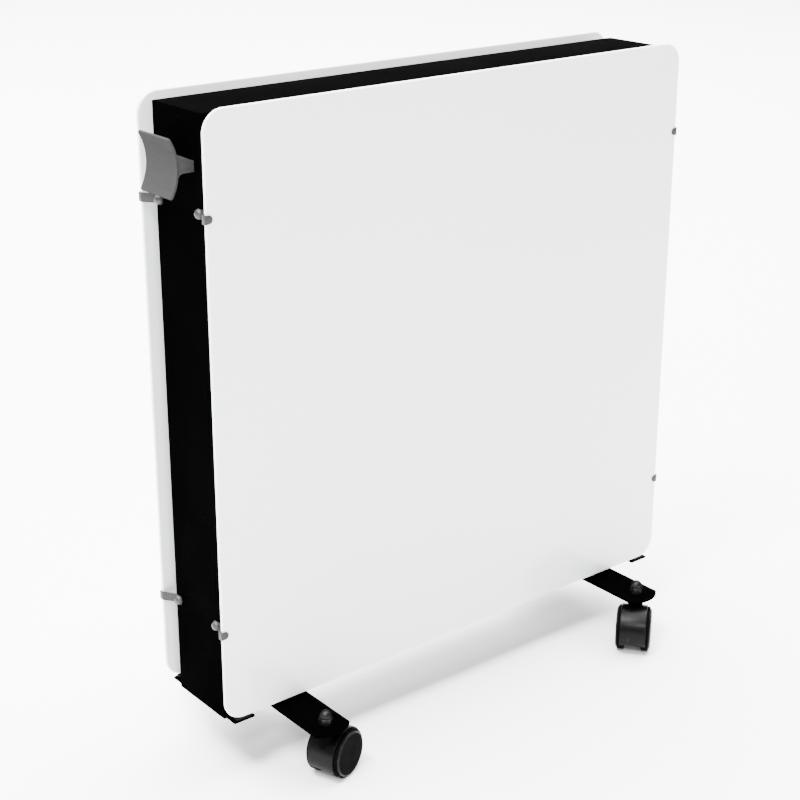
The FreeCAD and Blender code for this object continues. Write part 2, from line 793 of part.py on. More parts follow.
def cord_bracket():
    """A bowed plate on two legs, which pass through the end wall and fold flat behind it."""
    owner = body("cord_bracket")
    plate_face = f"({END_FACE} + bracket_standoff)"
    centre = f"(-{plate_face} - bracket_radius)"
    back_radius = "(bracket_radius + bracket_sheet)"
    profile = sketch(owner, "bracket_profile", "XZ_Plane")
    middle = FreeCAD.Vector(value(centre), value(BRACKET_MID), 0)
    half = value("bracket_chord / 2")
    corners = []
    for text in ("bracket_radius", back_radius):
        radius = value(text)
        swing = math.asin(half / radius)
        ring = Part.Circle(middle, FreeCAD.Vector(0, 0, 1), radius)
        profile.addGeometry(Part.ArcOfCircle(ring, -swing, swing))
        across = middle.x + radius * math.cos(swing)
        corners.append([FreeCAD.Vector(across, middle.y + rise, 0) for rise in (-half, half)])
    face, back = 0, 1
    low = profile.addGeometry(Part.LineSegment(corners[face][0], corners[back][0]))
    high = profile.addGeometry(Part.LineSegment(corners[face][1], corners[back][1]))
    meeting = [(face, 1, low, 1), (back, 1, low, 2), (face, 2, high, 1), (back, 2, high, 2)]
    for ends in (*meeting, (face, 3, back, 3)):
        profile.addConstraint(Sketcher.Constraint("Coincident", *ends))
    for arc, text in ((face, "bracket_radius"), (back, back_radius)):
        size = profile.addConstraint(Sketcher.Constraint("Radius", arc, value(text)))
        bind(profile, f"Constraints[{size}]", text)
    for edge, sign in ((low, "-"), (high, "+")):
        profile.addConstraint(Sketcher.Constraint("Horizontal", edge))
        hold(profile, "DistanceY", (edge, 1), f"{BRACKET_MID} {sign} bracket_chord / 2")
    hold(profile, "DistanceX", (face, 3), centre)
    hold(profile, "DistanceY", (face, 3), BRACKET_MID)
    plate = pad(owner, profile, "bracket_length", "Symmetric")
    half_length = value("bracket_length / 2")

    def is_corner(edge):
        """True for the plate's four short corner edges."""
        middle_point = edge.CenterOfMass
        at_end = abs(abs(middle_point.y) - half_length) < 1e-3
        at_tip = abs(abs(middle_point.z - value(BRACKET_MID)) - half) < 1e-3
        return at_end and at_tip

    rounded(owner, plate, "bracket_corner", is_corner)
    root_low = f"({BRACKET_MID} - bracket_leg_root / 2)"
    root_high = f"({BRACKET_MID} + bracket_leg_root / 2)"
    top_low = f"({BRACKET_MID} - bracket_leg_fall)"
    top_high = f"({BRACKET_MID} + bracket_leg_rise)"
    plate_end = f"(-{plate_face} + bracket_sheet / 2)"
    inside = f"(-{END_INSIDE} + bracket_sheet)"
    for end, sign in ENDS.items():
        near = "(bracket_length / 2 - bracket_sheet)"
        lift = f"-({sign}) * {near}" if sign < 0 else "-(bracket_length / 2)"
        leg = sketch(owner, f"bracket_leg_{end}", "XZ_Plane", lift)
        corners = [
            (plate_end, top_low),
            (f"-{END_FACE} - bracket_sheet", root_low),
            (inside, root_low),
            (inside, root_high),
            (f"-{END_FACE} - bracket_sheet", root_high),
            (plate_end, top_high),
        ]
        polygon(leg, corners)
        pad(owner, leg, "bracket_sheet")
        tab_lift = "(bracket_length / 2 - bracket_tab)" if sign < 0 else "-(bracket_length / 2)"
        tab = sketch(owner, f"bracket_tab_{end}", "XZ_Plane", tab_lift)
        rectangle(tab, (f"-{END_INSIDE}", inside), (root_low, root_high))
        pad(owner, tab, "bracket_tab")


# Castors


def castor_stem(name, x, y):
    """The fixed stem of a castor: a pivot below, a collar under the bar and a thread above it."""
    low = f"({NECK_TOP} - stem_grip + neck_gap)"
    high = f"({BAR_TOP} + stem_thread)"
    shaft = rod(f"{name}_shaft", "stem_diameter / 2", f"{high} - {low}", x, y, low)
    collar = rod(
        f"{name}_collar",
        "stem_collar_diameter / 2",
        "stem_collar",
        x,
        y,
        f"{BAR_UNDER} - stem_collar",
    )
    return joined(name, shaft, collar)


def dome_nut(name, x, y):
    """A domed nut on a stem's thread: a hexagon, a round waist and half a ball."""
    dome_radius = "nut_dome_diameter / 2"
    waist_high = f"{BAR_TOP} + nut_height - {dome_radius}"
    blank = joined(
        f"{name}_blank",
        hexagon(f"{name}_hex", "nut_flats", "nut_hex_height", x, y, BAR_TOP),
        rod(f"{name}_waist", dome_radius, f"nut_height - {dome_radius}", x, y, BAR_TOP),
        cap(f"{name}_dome", dome_radius, dome_radius, x, y, waist_high),
    )
    hole_radius = "stem_diameter / 2 + running_clearance"
    hole = rod(f"{name}_hole", hole_radius, "stem_thread + neck_gap", x, y, BAR_TOP)
    return drilled(name, blank, hole)


def castor_hood(name, x, y, heading):
    """A barrel-shaped hood round both wheels, with a neck for the stem and a bore for the axle."""
    owner = body(f"{name}_hood")
    barrel = sketch(owner, f"{name}_barrel", "XZ_Plane")
    circle(barrel, HOOD_RADIUS, "castor_trail", WHEEL_RADIUS)
    pad(owner, barrel, "hood_width", "Symmetric")
    neck = circle(sketch(owner, f"{name}_neck", "XY_Plane", WHEEL_RADIUS), "neck_diameter / 2")
    pad(owner, neck, f"{NECK_TOP} - {WHEEL_RADIUS}")
    doc.recompute()
    below = sketch(owner, f"{name}_below", "XZ_Plane")
    reach = (f"castor_trail - 2 * {HOOD_RADIUS}", f"castor_trail + 2 * {HOOD_RADIUS}")
    rectangle(below, reach, ("-hood_lift", "hood_lift"))
    pocket(owner, below, None, "Symmetric")
    for side, hand in SIDES.items():
        room = sketch(owner, f"{name}_room_{side}", "XZ_Plane", f"{-hand} * {CORE_HALF}")
        circle(room, ROOM_RADIUS, "castor_trail", WHEEL_RADIUS)
        pocket(owner, room, "hood_width", "One side", hand < 0)
    bore = circle(
        sketch(owner, f"{name}_bore", "XY_Plane", NECK_TOP),
        "stem_diameter / 2 + running_clearance",
    )
    pocket(owner, bore, "stem_grip")
    axle_bore = circle(
        sketch(owner, f"{name}_axle_bore", "XZ_Plane"),
        "axle_diameter / 2 + running_clearance",
        "castor_trail",
        WHEEL_RADIUS,
    )
    pocket(owner, axle_bore, None, "Symmetric")
    place(owner, x, y, "0", FreeCAD.Rotation(FreeCAD.Vector(0, 0, 1), value(heading)))


def castor_wheel(name, side, x, y, heading):
    """A disc wheel with a flat tread, a round shoulder and a raised face, bored for half the axle."""
    hand = SIDES[side]
    owner = body(f"{name}_wheel_{side}")
    inner = "(wheel_track / 2 - wheel_width / 2)"
    outer = "(wheel_track / 2 + wheel_width / 2)"
    bore = "(axle_diameter / 2 + running_clearance)"
    bore_end = f"({outer} - axle_inset + running_clearance)"
    ease = "(wheel_shoulder / 3)"
    face = f"({WHEEL_RADIUS} - wheel_shoulder)"
    profile = sketch(owner, f"{name}_{side}_profile", "XZ_Plane")
    corners = [
        (bore, inner),
        (f"{WHEEL_RADIUS} - {ease}", inner),
        (WHEEL_RADIUS, f"{inner} + {ease}"),
        (WHEEL_RADIUS, f"{outer} - wheel_shoulder"),
        (f"{WHEEL_RADIUS} - {ease} / 3", f"{outer} - wheel_shoulder / 2"),
        (face, outer),
        (f"{face} - wheel_shoulder", f"{outer} + wheel_dome"),
        ("0", f"{outer} + wheel_dome"),
        ("0", bore_end),
        (bore, bore_end),
    ]
    polygon(profile, corners)
    made = owner.newObject("PartDesign::Revolution", f"{name}_{side}_disc")
    made.Profile = profile
    made.ReferenceAxis = (profile, ["V_Axis"])
    made.Angle = 360
    swing = FreeCAD.Rotation(FreeCAD.Vector(0, 0, 1), value(heading))
    centre_x = f"{x} + castor_trail * cos({heading})"
    centre_y = f"{y} + castor_trail * sin({heading})"
    place(owner, centre_x, centre_y, WHEEL_RADIUS, swing.multiply(turn_to(0, hand, 0)))


def castor_axle(name, x, y, heading):
    """The steel pin that both wheels turn on."""
    length = "(wheel_track + wheel_width - 2 * axle_inset)"
    turn = math.radians(value(heading))
    across = f"castor_trail * cos({heading}) + {length} / 2 * sin({heading})"
    deep = f"castor_trail * sin({heading}) - {length} / 2 * cos({heading})"
    pin = rod(
        f"{name}_pin",
        "axle_diameter / 2",
        length,
        f"{x} + {across}",
        f"{y} + {deep}",
        WHEEL_RADIUS,
        turn_to(-math.sin(turn), math.cos(turn), 0),
    )
    piece(pin, f"{name}_axle")


def castors():
    """The four castors and the domed nuts that hold them."""
    stems = []
    nuts = []
    for end, sign in ENDS.items():
        for side, hand in SIDES.items():
            name = f"castor_{end}_{side}"
            x = f"{hand} * {BAR_MID}"
            y = f"{sign} * {SWIVEL_OUT}"
            heading = f"angle_{end}_{side}"
            stems.append(castor_stem(f"{name}_stem", x, y))
            nuts.append(dome_nut(f"{name}_nut", x, y))
            castor_hood(name, x, y, heading)
            castor_axle(name, x, y, heading)
            for wheel_side in SIDES:
                castor_wheel(name, wheel_side, x, y, heading)
    group("castor_stems", stems)
    group("castor_dome_nuts", nuts)


# Mains inlet gland and switch


def inlet_gland():
    """The gland that the mains lead enters by: a threaded body, its cap and its lock nut."""
    outward = turn_to(1, 0, 0)
    hole_radius = "gland_bore / 2"
    thread_low = f"({END_FACE} - gland_thread_length)"
    hex_high = f"({END_FACE} + gland_hex_height)"
    blank = joined(
        "gland_blank",
        rod("gland_screw", "gland_thread / 2", "gland_thread_length", thread_low, "0", GLAND_MID, outward),
        hexagon("gland_hex", "gland_flats", "gland_hex_height", END_FACE, "0", GLAND_MID, outward),
    )
    total = "gland_thread_length + gland_hex_height"
    piece(
        drilled("gland", blank, rod("gland_way", hole_radius, total, thread_low, "0", GLAND_MID, outward)),
        "inlet_gland",
    )
    cap_blank = joined(
        "gland_cap_blank",
        rod("gland_barrel", "gland_cap_diameter / 2", "gland_shoulder", hex_high, "0", GLAND_MID, outward),
        rod("gland_nose", "gland_nose_diameter / 2", "gland_cap_length", hex_high, "0", GLAND_MID, outward),
    )
    way = rod("gland_cap_way", hole_radius, "gland_cap_length", hex_high, "0", GLAND_MID, outward)
    piece(drilled("gland_top", cap_blank, way), "inlet_gland_cap")
    nut_start = f"{END_INSIDE} - gland_nut_height"
    tall = "gland_nut_height"
    nut = hexagon("gland_nut_blank", "gland_nut_flats", tall, nut_start, "0", GLAND_MID, outward)
    nut_radius = "gland_thread / 2 + running_clearance"
    nut_hole = rod("gland_nut_hole", nut_radius, tall, nut_start, "0", GLAND_MID, outward)
    piece(drilled("gland_nut", nut, nut_hole), "inlet_gland_nut")


def rocker_switch():
    """A rocker in an open housing that clips into the end wall, tilted to one side at rest."""
    bezel_half = ("(switch_bezel_width / 2)", "(switch_bezel_height / 2)")
    body_half = ("(switch_body_width / 2)", "(switch_body_height / 2)")
    well_half = [f"({half} - switch_wall)" for half in body_half]
    bezel_face = f"({END_FACE} + switch_bezel)"
    pivot = f"({bezel_face} - rocker_radius)"

    def block(name, across, half):
        """A block round the switch's middle."""
        return box(
            name,
            across,
            (f"-{half[0]}", half[0]),
            (f"{SWITCH_MID} - {half[1]}", f"{SWITCH_MID} + {half[1]}"),
        )

    rear = f"({END_FACE} - switch_body_depth)"
    shell = joined(
        "switch_shell",
        block("switch_bezel_plate", (END_FACE, bezel_face), bezel_half),
        block("switch_case", (rear, END_FACE), body_half),
    )
    well = block("switch_well", (f"{rear} + switch_wall", f"{bezel_face} + switch_wall"), well_half)
    pin_reach = f"({well_half[0]} - rocker_play + rocker_pin_length)"
    pin_hole_half = f"({pin_reach} + running_clearance)"
    pin_hole = rod(
        "switch_pin_hole",
        "rocker_pin_diameter / 2 + running_clearance",
        f"2 * {pin_hole_half}",
        pivot,
        f"-{pin_hole_half}",
        SWITCH_MID,
        turn_to(0, 1, 0),
    )
    piece(drilled("switch", shell, well, pin_hole), "switch_housing")

    owner = body("switch_rocker")
    half_width = f"({well_half[0]} - rocker_play)"
    half_length = f"({well_half[1]} - rocker_play - switch_wall / 2)"
    brow = "(rocker_radius + switch_bezel * 0.9)"
    brow_half = f"(({well_half[1]} - rocker_play - {brow} * sin(rocker_tilt)) / cos(rocker_tilt))"
    profile = sketch(owner, "rocker_profile", "XZ_Plane")
    corners = [
        ("rocker_radius * 0.2", f"-{half_length}"),
        (brow, f"-{brow_half}"),
        ("rocker_radius", "0"),
        (brow, brow_half),
        ("rocker_radius * 0.2", half_length),
        ("-rocker_radius * 0.4", "rocker_radius * 0.5"),
        ("-rocker_radius * 0.4", "-rocker_radius * 0.5"),
    ]
    polygon(profile, corners)
    pad(owner, profile, f"2 * {half_width}", "Symmetric")
    pin = circle(sketch(owner, "rocker_pin", "XZ_Plane"), "rocker_pin_diameter / 2")
    pad(owner, pin, f"2 * {pin_reach}", "Symmetric")
    tilt = FreeCAD.Rotation(FreeCAD.Vector(0, 1, 0), value("rocker_tilt"))
    place(owner, pivot, "0", SWITCH_MID, tilt)


# Wiring inside the casing


def quarter_bend(name, x, y, z, turn):
    """A quarter ring of lead about a centre."""
    made = doc.addObject("Part::Torus", name)
    bind(made, "Radius1", "lead_bend")
    bind(made, "Radius2", "lead_diameter / 2")
    made.Angle3 = 90
    return place(made, x, y, z, turn)


def film_lead(end, sign):
    """A sleeved lead that rises from the terminal block and runs out to a film's terminal."""
    start = f"({sign} * lead_spread / 2)"
    terminal_face = f"({GLASS_INNER} - film_thickness - terminal_depth)"
    bend_low = f"({LEAD_MID} - lead_bend)"
    bend_out = "(lead_spread / 2 + lead_bend)"
    radius = "lead_diameter / 2"
    rise = rod(f"lead_rise_{end}", radius, f"{bend_low} - {BLOCK_TOP}", BLOCK_MID, start, BLOCK_TOP)
    up = FreeCAD.Vector(0, 0, 1)
    sideways = FreeCAD.Vector(0, -sign, 0)
    first, second = (sideways, up) if sign < 0 else (up, sideways)
    turn = FreeCAD.Rotation(first, second, FreeCAD.Vector(1, 0, 0), "ZXY")
    curve = quarter_bend(f"lead_curve_{end}", BLOCK_MID, f"{sign} * {bend_out}", bend_low, turn)
    run = rod(
        f"lead_run_{end}",
        radius,
        f"{terminal_face} - {bend_out}",
        BLOCK_MID,
        f"{sign} * {bend_out}",
        LEAD_MID,
        turn_to(0, sign, 0),
    )
    return joined(f"lead_{end}", rise, curve, run)


def switch_lead():
    """The lead that runs in from the rocker switch, bends down and drops to the terminal block."""
    radius = "lead_diameter / 2"
    drop = f"({BLOCK_MID} + block_width / 4)"
    bend_in = f"({drop} + lead_bend)"
    bend_low = f"({SWITCH_MID} - lead_bend)"
    outer = f"({END_FACE} - switch_body_depth)"
    inward = turn_to(1, 0, 0)
    run = rod("switch_lead_run", radius, f"{outer} - {bend_in}", bend_in, "0", SWITCH_MID, inward)
    turn = FreeCAD.Rotation(
        FreeCAD.Vector(0, 0, 1), FreeCAD.Vector(-1, 0, 0), FreeCAD.Vector(0, -1, 0), "ZXY"
    )
    curve = quarter_bend("switch_lead_curve", bend_in, "0", bend_low, turn)
    fall = rod("switch_lead_fall", radius, f"{bend_low} - {BLOCK_TOP}", drop, "0", BLOCK_TOP)
    return joined("lead_switch", run, curve, fall)


def tilt_lead():
    """The straight lead between the tip-over switch and the terminal block."""
    start = f"({TILT_MID} + tilt_switch_width / 2)"
    end = f"({BLOCK_MID} - block_width / 2)"
    level = f"{CASE_INSIDE} + block_height / 2"
    return rod("lead_tilt", "lead_diameter / 2", f"{end} - {start}", start, "0", level, turn_to(1, 0, 0))


def grommets():
    """Rubber rings round the leads where they pass the covers."""
    rings = []
    for end, sign in ENDS.items():
        outward = turn_to(0, sign, 0)
        inner_face = f"({COVER_FACE} - cover_sheet)"
        neck = rod(
            f"grommet_neck_{end}",
            "grommet_diameter / 2 - running_clearance",
            "cover_sheet + grommet_flange",
            BLOCK_MID,
            f"{sign} * {inner_face}",
            LEAD_MID,
            outward,
        )
        flange = rod(
            f"grommet_flange_{end}",
            "grommet_flange_diameter / 2",
            "grommet_flange",
            BLOCK_MID,
            f"{sign} * ({inner_face} - grommet_flange)",
            LEAD_MID,
            outward,
        )
        way = rod(
            f"grommet_way_{end}",
            "lead_diameter / 2 + running_clearance",
            "cover_sheet + 2 * grommet_flange",
            BLOCK_MID,
            f"{sign} * ({inner_face} - grommet_flange)",
            LEAD_MID,
            outward,
        )
        rings.append(drilled(f"grommet_{end}", joined(f"grommet_blank_{end}", neck, flange), way))
    group("lead_grommets", rings)


def base_boxes():
    """The terminal block and the tip-over switch, on the casing's bottom."""
    block = box(
        "block",
        (f"{BLOCK_MID} - block_width / 2", f"{BLOCK_MID} + block_width / 2"),
        ("-block_depth / 2", "block_depth / 2"),
        (CASE_INSIDE, BLOCK_TOP),
    )
    piece(block, "terminal_block")
    tilt = box(
        "tilt",
        (f"{TILT_MID} - tilt_switch_width / 2", f"{TILT_MID} + tilt_switch_width / 2"),
        ("-tilt_switch_depth / 2", "tilt_switch_depth / 2"),
        (CASE_INSIDE, f"{CASE_INSIDE} + tilt_switch_height"),
    )
    piece(tilt, "tilt_switch")


# The whole heater
for end, sign in ENDS.items():
    glass_panel(end, sign)
    cover(end, sign)
    insulation(end, sign)
fittings = [panel_fittings(end, sign) for end, sign in ENDS.items()]
group("film_terminals", [terminal for terminal, cutout in fittings])
group("thermal_cutouts", [cutout for terminal, cutout in fittings])
leads = [film_lead(end, sign) for end, sign in ENDS.items()]
group("inner_leads", [*leads, switch_lead(), tilt_lead()])
left_end()
right_end()
top_and_bottom()
for side, hand in SIDES.items():
    rest_strip(side, hand)
    foot_bar(side, hand)
    for end in ENDS:
        for level in CLIP_HEIGHTS:
            panel_clip(side, end, level)
rest_pads()
clip_fasteners()
bar_fasteners()
cord_bracket()
castors()
inlet_gland()
rocker_switch()
grommets()
base_boxes()
doc.recompute()

# Every object has to be sound before anything is written
for thing in doc.Objects:
    if {"Invalid", "Error"} & set(thing.State):
        raise RuntimeError(f"{thing.Name} failed: {thing.State}")
for thing in pieces:
    if thing.Shape.isNull() or not thing.Shape.isValid():
        raise RuntimeError(f"{thing.Label} has no valid shape")

os.makedirs("parts", exist_ok=True)
for thing in pieces:
    thing.Shape.exportStep(os.path.join("parts", f"{thing.Label}.step"))
print(len(pieces), "pieces written")
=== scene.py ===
import json
import math

import bpy
import numpy as np
from mathutils import Matrix, Vector
from mathutils.geometry import tessellate_polygon


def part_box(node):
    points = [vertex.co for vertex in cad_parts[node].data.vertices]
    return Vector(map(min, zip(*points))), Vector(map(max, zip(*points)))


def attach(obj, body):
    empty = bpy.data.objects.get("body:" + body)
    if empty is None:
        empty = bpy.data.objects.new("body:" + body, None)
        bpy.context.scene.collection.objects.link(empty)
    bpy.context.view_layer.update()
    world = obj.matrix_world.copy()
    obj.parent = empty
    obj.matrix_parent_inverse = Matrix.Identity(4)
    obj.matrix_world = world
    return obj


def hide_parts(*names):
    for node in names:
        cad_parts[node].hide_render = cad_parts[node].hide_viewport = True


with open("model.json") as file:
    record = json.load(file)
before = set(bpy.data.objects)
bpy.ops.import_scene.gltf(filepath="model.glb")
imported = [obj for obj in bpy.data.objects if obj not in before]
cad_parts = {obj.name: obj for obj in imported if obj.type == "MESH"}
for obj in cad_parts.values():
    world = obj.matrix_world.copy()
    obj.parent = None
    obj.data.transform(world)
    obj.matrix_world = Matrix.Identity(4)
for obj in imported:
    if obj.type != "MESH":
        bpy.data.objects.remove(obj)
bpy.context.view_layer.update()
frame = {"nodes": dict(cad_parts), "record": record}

MM = 0.001
record = frame["record"]
behaviour = record["behaviour"]
node_slot = {part["node"]: part["material_slot"] for part in record["subparts"]}
body_of_node = {node: body for body, nodes in behaviour["bodies"].items() for node in nodes}
joint_named = {joint["name"]: joint for joint in behaviour["joints"]}


# Materials


class Finish:
    """A material's node tree round one Principled shader, with noise laid out in object space."""

    # Most of a noise lies between these values
    NOISE_LOW = 0.3
    NOISE_HIGH = 0.7
    # Noise at which a colour starts to drift, and at which it has reached the other one
    DRIFT_START = 0.35
    DRIFT_END = 0.7

    def __init__(self, name, colour, roughness, metallic=0.0, gloss=0.5):
        self.material = bpy.data.materials.new(name)
        self.material.use_nodes = True
        self.tree = self.material.node_tree
        self.shader = self.tree.nodes["Principled BSDF"]
        self.shader.inputs["Base Color"].default_value = (*colour, 1.0)
        self.shader.inputs["Roughness"].default_value = roughness
        self.shader.inputs["Metallic"].default_value = metallic
        self.shader.inputs["Specular IOR Level"].default_value = gloss
        self.colour = colour
        self.roughness = roughness
        self.where = self.tree.nodes.new("ShaderNodeTexCoord")

    def noise(self, scale, detail=3.0, stretch=(1.0, 1.0, 1.0)):
        """Noise of a scale per metre, drawn out along the axes whose stretch is small."""
        mapping = self.tree.nodes.new("ShaderNodeMapping")
        mapping.inputs["Scale"].default_value = stretch
        self.tree.links.new(self.where.outputs["Object"], mapping.inputs["Vector"])
        texture = self.tree.nodes.new("ShaderNodeTexNoise")
        texture.inputs["Scale"].default_value = scale
        texture.inputs["Detail"].default_value = detail
        self.tree.links.new(mapping.outputs["Vector"], texture.inputs["Vector"])
        return texture.outputs["Fac"]

    def vary_roughness(self, noise, spread):
        """Roughness that strays either side of its middle value with a noise."""
        ramp = self.tree.nodes.new("ShaderNodeMapRange")
        ramp.inputs["From Min"].default_value = self.NOISE_LOW
        ramp.inputs["From Max"].default_value = self.NOISE_HIGH
        ramp.inputs["To Min"].default_value = self.roughness - spread
        ramp.inputs["To Max"].default_value = self.roughness + spread
        self.tree.links.new(noise, ramp.inputs["Value"])
        self.tree.links.new(ramp.outputs["Result"], self.shader.inputs["Roughness"])

    def vary_colour(self, noise, other):
        """Colour that drifts from the base towards another with a noise."""
        ramp = self.tree.nodes.new("ShaderNodeValToRGB")
        ramp.color_ramp.elements[0].position = self.DRIFT_START
        ramp.color_ramp.elements[1].position = self.DRIFT_END
        ramp.color_ramp.elements[0].color = (*self.colour, 1.0)
        ramp.color_ramp.elements[1].color = (*other, 1.0)
        self.tree.links.new(noise, ramp.inputs["Fac"])
        self.tree.links.new(ramp.outputs["Color"], self.shader.inputs["Base Color"])

    def bump(self, noise, height):
        """Small relief of a height in metres."""
        relief = self.tree.nodes.new("ShaderNodeBump")
        relief.inputs["Strength"].default_value = 1.0
        relief.inputs["Distance"].default_value = height
        self.tree.links.new(noise, relief.inputs["Height"])
        self.tree.links.new(relief.outputs["Normal"], self.shader.inputs["Normal"])

    def coat(self, weight, roughness):
        """A clear layer on top, such as polished glass over paint."""
        self.shader.inputs["Coat Weight"].default_value = weight
        self.shader.inputs["Coat Roughness"].default_value = roughness


def grey(tone):
    """A grey as a colour."""
    return (tone, tone, tone)


def painted_glass():
    """White paint seen through polished glass: a clear coat over a satin white."""
    made = Finish("white_glass", (0.630, 0.651, 0.644), roughness=0.35)
    made.vary_colour(made.noise(scale=2.5, detail=2.0), other=(0.617, 0.638, 0.633))
    made.vary_roughness(made.noise(scale=35.0), spread=0.05)
    made.coat(weight=0.6, roughness=0.06)
    return made.material


def glass_rim():
    """The polished rim of the glass, almost as light as its faces and faintly green."""
    made = Finish("glass_rim", (0.74, 0.785, 0.77), roughness=0.14)
    made.vary_colour(made.noise(scale=60.0, detail=2.0), other=(0.80, 0.835, 0.82))
    made.vary_roughness(made.noise(scale=220.0), spread=0.05)
    made.coat(weight=0.5, roughness=0.05)
    return made.material


def enamel(name, tone, roughness, grain, height, gloss):
    """Stove enamel on metal: a dark tone with fine orange peel and broad patches of sheen."""
    made = Finish(name, grey(tone), roughness, gloss=gloss)
    made.vary_colour(made.noise(scale=14.0), other=grey(tone * 1.5))
    made.vary_roughness(made.noise(scale=9.0), spread=0.05)
    made.bump(made.noise(grain, detail=2.0), height)
    return made.material


def brushed_steel(name, tone, roughness, stretch, metallic=1.0, gloss=0.5):
    """Steel with brush marks drawn out along one axis, bare or under a dull lacquer."""
    made = Finish(name, grey(tone), roughness, metallic, gloss)
    marks = made.noise(scale=900.0, detail=4.0, stretch=stretch)
    made.vary_colour(marks, other=grey(tone * 0.9))
    made.vary_roughness(made.noise(scale=700.0, stretch=stretch), spread=0.07)
    made.bump(marks, height=0.00001)
    return made.material


def blackened_steel(name, tone, roughness):
    """Steel under a black oxide: a dim metal whose reflection stays weak towards its outline."""
    made = Finish(name, grey(tone), roughness, metallic=1.0)
    outline_tint = 0.3
    made.shader.inputs["Specular Tint"].default_value = (*grey(outline_tint), 1.0)
    made.vary_colour(made.noise(scale=60.0), other=grey(tone * 1.3))
    made.vary_roughness(made.noise(scale=300.0), spread=0.05)
    made.bump(made.noise(scale=3000.0, detail=2.0), height=0.000006)
    return made.material


def moulding(name, tone, roughness, grain, height, gloss=0.5):
    """Moulded plastic or rubber with a fine spark-eroded grain."""
    made = Finish(name, grey(tone), roughness, gloss=gloss)
    made.vary_colour(made.noise(scale=40.0), other=grey(tone * 1.35))
    made.vary_roughness(made.noise(scale=90.0), spread=0.06)
    made.bump(made.noise(grain, detail=2.0), height)
    return made.material


def pressed_fibre():
    """Pressed mineral fibre in a warm off-white."""
    made = Finish("insulation", (0.66, 0.62, 0.50), roughness=0.9)
    made.vary_colour(made.noise(scale=160.0, detail=5.0), other=(0.50, 0.46, 0.36))
    made.bump(made.noise(scale=700.0, detail=4.0), height=0.0004)
    return made.material


ALONG_X = (0.02, 1.0, 1.0)
ALONG_Y = (1.0, 0.02, 1.0)
ALONG_Z = (1.0, 1.0, 0.02)
FINISHES = {
    "white_glass": painted_glass(),
    "film": moulding("film", tone=0.03, roughness=0.5, grain=1500.0, height=0.00001),
    "inner_plastic": moulding(
        "inner_plastic", tone=0.45, roughness=0.5, grain=2500.0, height=0.00001
    ),
    "cutout_metal": brushed_steel("cutout_metal", tone=0.62, roughness=0.3, stretch=ALONG_X),
    "insulation": pressed_fibre(),
    "black_steel": enamel(
        "black_steel", tone=0.00025, roughness=0.6, grain=2600.0, height=0.000012, gloss=0.0004
    ),
    "clip_steel": brushed_steel(
        "clip_steel", tone=0.027, roughness=0.4, stretch=ALONG_Y, metallic=0.3, gloss=0.1
    ),
    "bracket_steel": brushed_steel(
        "bracket_steel", tone=0.027, roughness=0.5, stretch=ALONG_Y, metallic=0.0, gloss=0.0
    ),
    "zinc_steel": brushed_steel(
        "zinc_steel", tone=0.046, roughness=0.36, stretch=ALONG_Z, metallic=0.5, gloss=0.05
    ),
    "black_nut": blackened_steel("black_nut", tone=0.012, roughness=0.42),
    "castor_plastic": moulding(
        "castor_plastic", tone=0.0006, roughness=0.33, grain=2200.0, height=0.000008, gloss=0.068
    ),
    "wheel_plastic": moulding(
        "wheel_plastic", tone=0.001, roughness=0.45, grain=2600.0, height=0.000006, gloss=0.003
    ),
    "gland_plastic": moulding(
        "gland_plastic", tone=0.004, roughness=0.45, grain=2400.0, height=0.000015, gloss=0.07
    ),
    "switch_plastic": moulding(
        "switch_plastic", tone=0.003, roughness=0.3, grain=2800.0, height=0.000005, gloss=0.08
    ),
    "black_rubber": moulding(
        "black_rubber", tone=0.004, roughness=0.75, grain=1800.0, height=0.00002, gloss=0.06
    ),
    "lead_sleeve": moulding("lead_sleeve", tone=0.55, roughness=0.7, grain=3200.0, height=0.00003),
}
GLASS_RIM = glass_rim()
WHEEL_RIM = moulding(
    "wheel_rim", tone=0.002, roughness=0.3, grain=2600.0, height=0.000004, gloss=0.06
)
SWITCH_MARK = moulding("switch_mark", tone=0.75, roughness=0.5, grain=2800.0, height=0.000005)


# Meshes

# Edges that turn more than this stay sharp
CREASE = math.radians(35)


def shifted(faces, start):
    """Faces whose vertices are counted on from a start."""
    return [[corner + start for corner in face] for face in faces]


def piece(node, parts, extra=()):
    """One new object from its parts, which stands for a CAD node and rides on its body.

    A part is (vertices in millimetres, faces, finish index), with one index or one for each face.
    Index 0 is the finish of the node's slot, and the extra finishes follow.
    """
    slot = node_slot[node]
    starts = np.cumsum([0] + [len(vertices) for vertices, _, _ in parts])
    faces = []
    for (_, part_faces, _), start in zip(parts, starts):
        faces += shifted(part_faces, start)
    indices = [np.broadcast_to(index, len(part_faces)) for _, part_faces, index in parts]
    mesh = bpy.data.meshes.new(node + "_look")
    mesh.from_pydata(np.concatenate([vertices for vertices, _, _ in parts]) * MM, [], faces)
    for finish in (FINISHES[slot], *extra):
        mesh.materials.append(finish)
    mesh.polygons.foreach_set("material_index", np.concatenate(indices).astype(np.int32))
    mesh.shade_smooth()
    mesh.set_sharp_from_angle(angle=CREASE)
    made = bpy.data.objects.new(node + "_look", mesh)
    bpy.context.collection.objects.link(made)
    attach(made, body_of_node[node])
    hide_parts(node)


def millimetres(node):
    """Lowest and highest corner of a CAD node, in millimetres."""
    low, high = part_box(node)
    return np.array(low) / MM, np.array(high) / MM


def middle_of(node):
    """Middle of a CAD node's box, in millimetres."""
    low, high = millimetres(node)
    return (low + high) / 2


def joint_place(name):
    """A point on a joint's axis, in millimetres."""
    return np.array(joint_named[name]["pos_m"]) / MM


def corner_places(node, margins):
    """Middles of the pieces at the corners of a node that holds one at each, axis by axis.

    Each is the node's box, drawn in by half a piece.
    """
    low, high = millimetres(node)
    return [(low[k] + margin, high[k] - margin) for k, margin in enumerate(margins)]


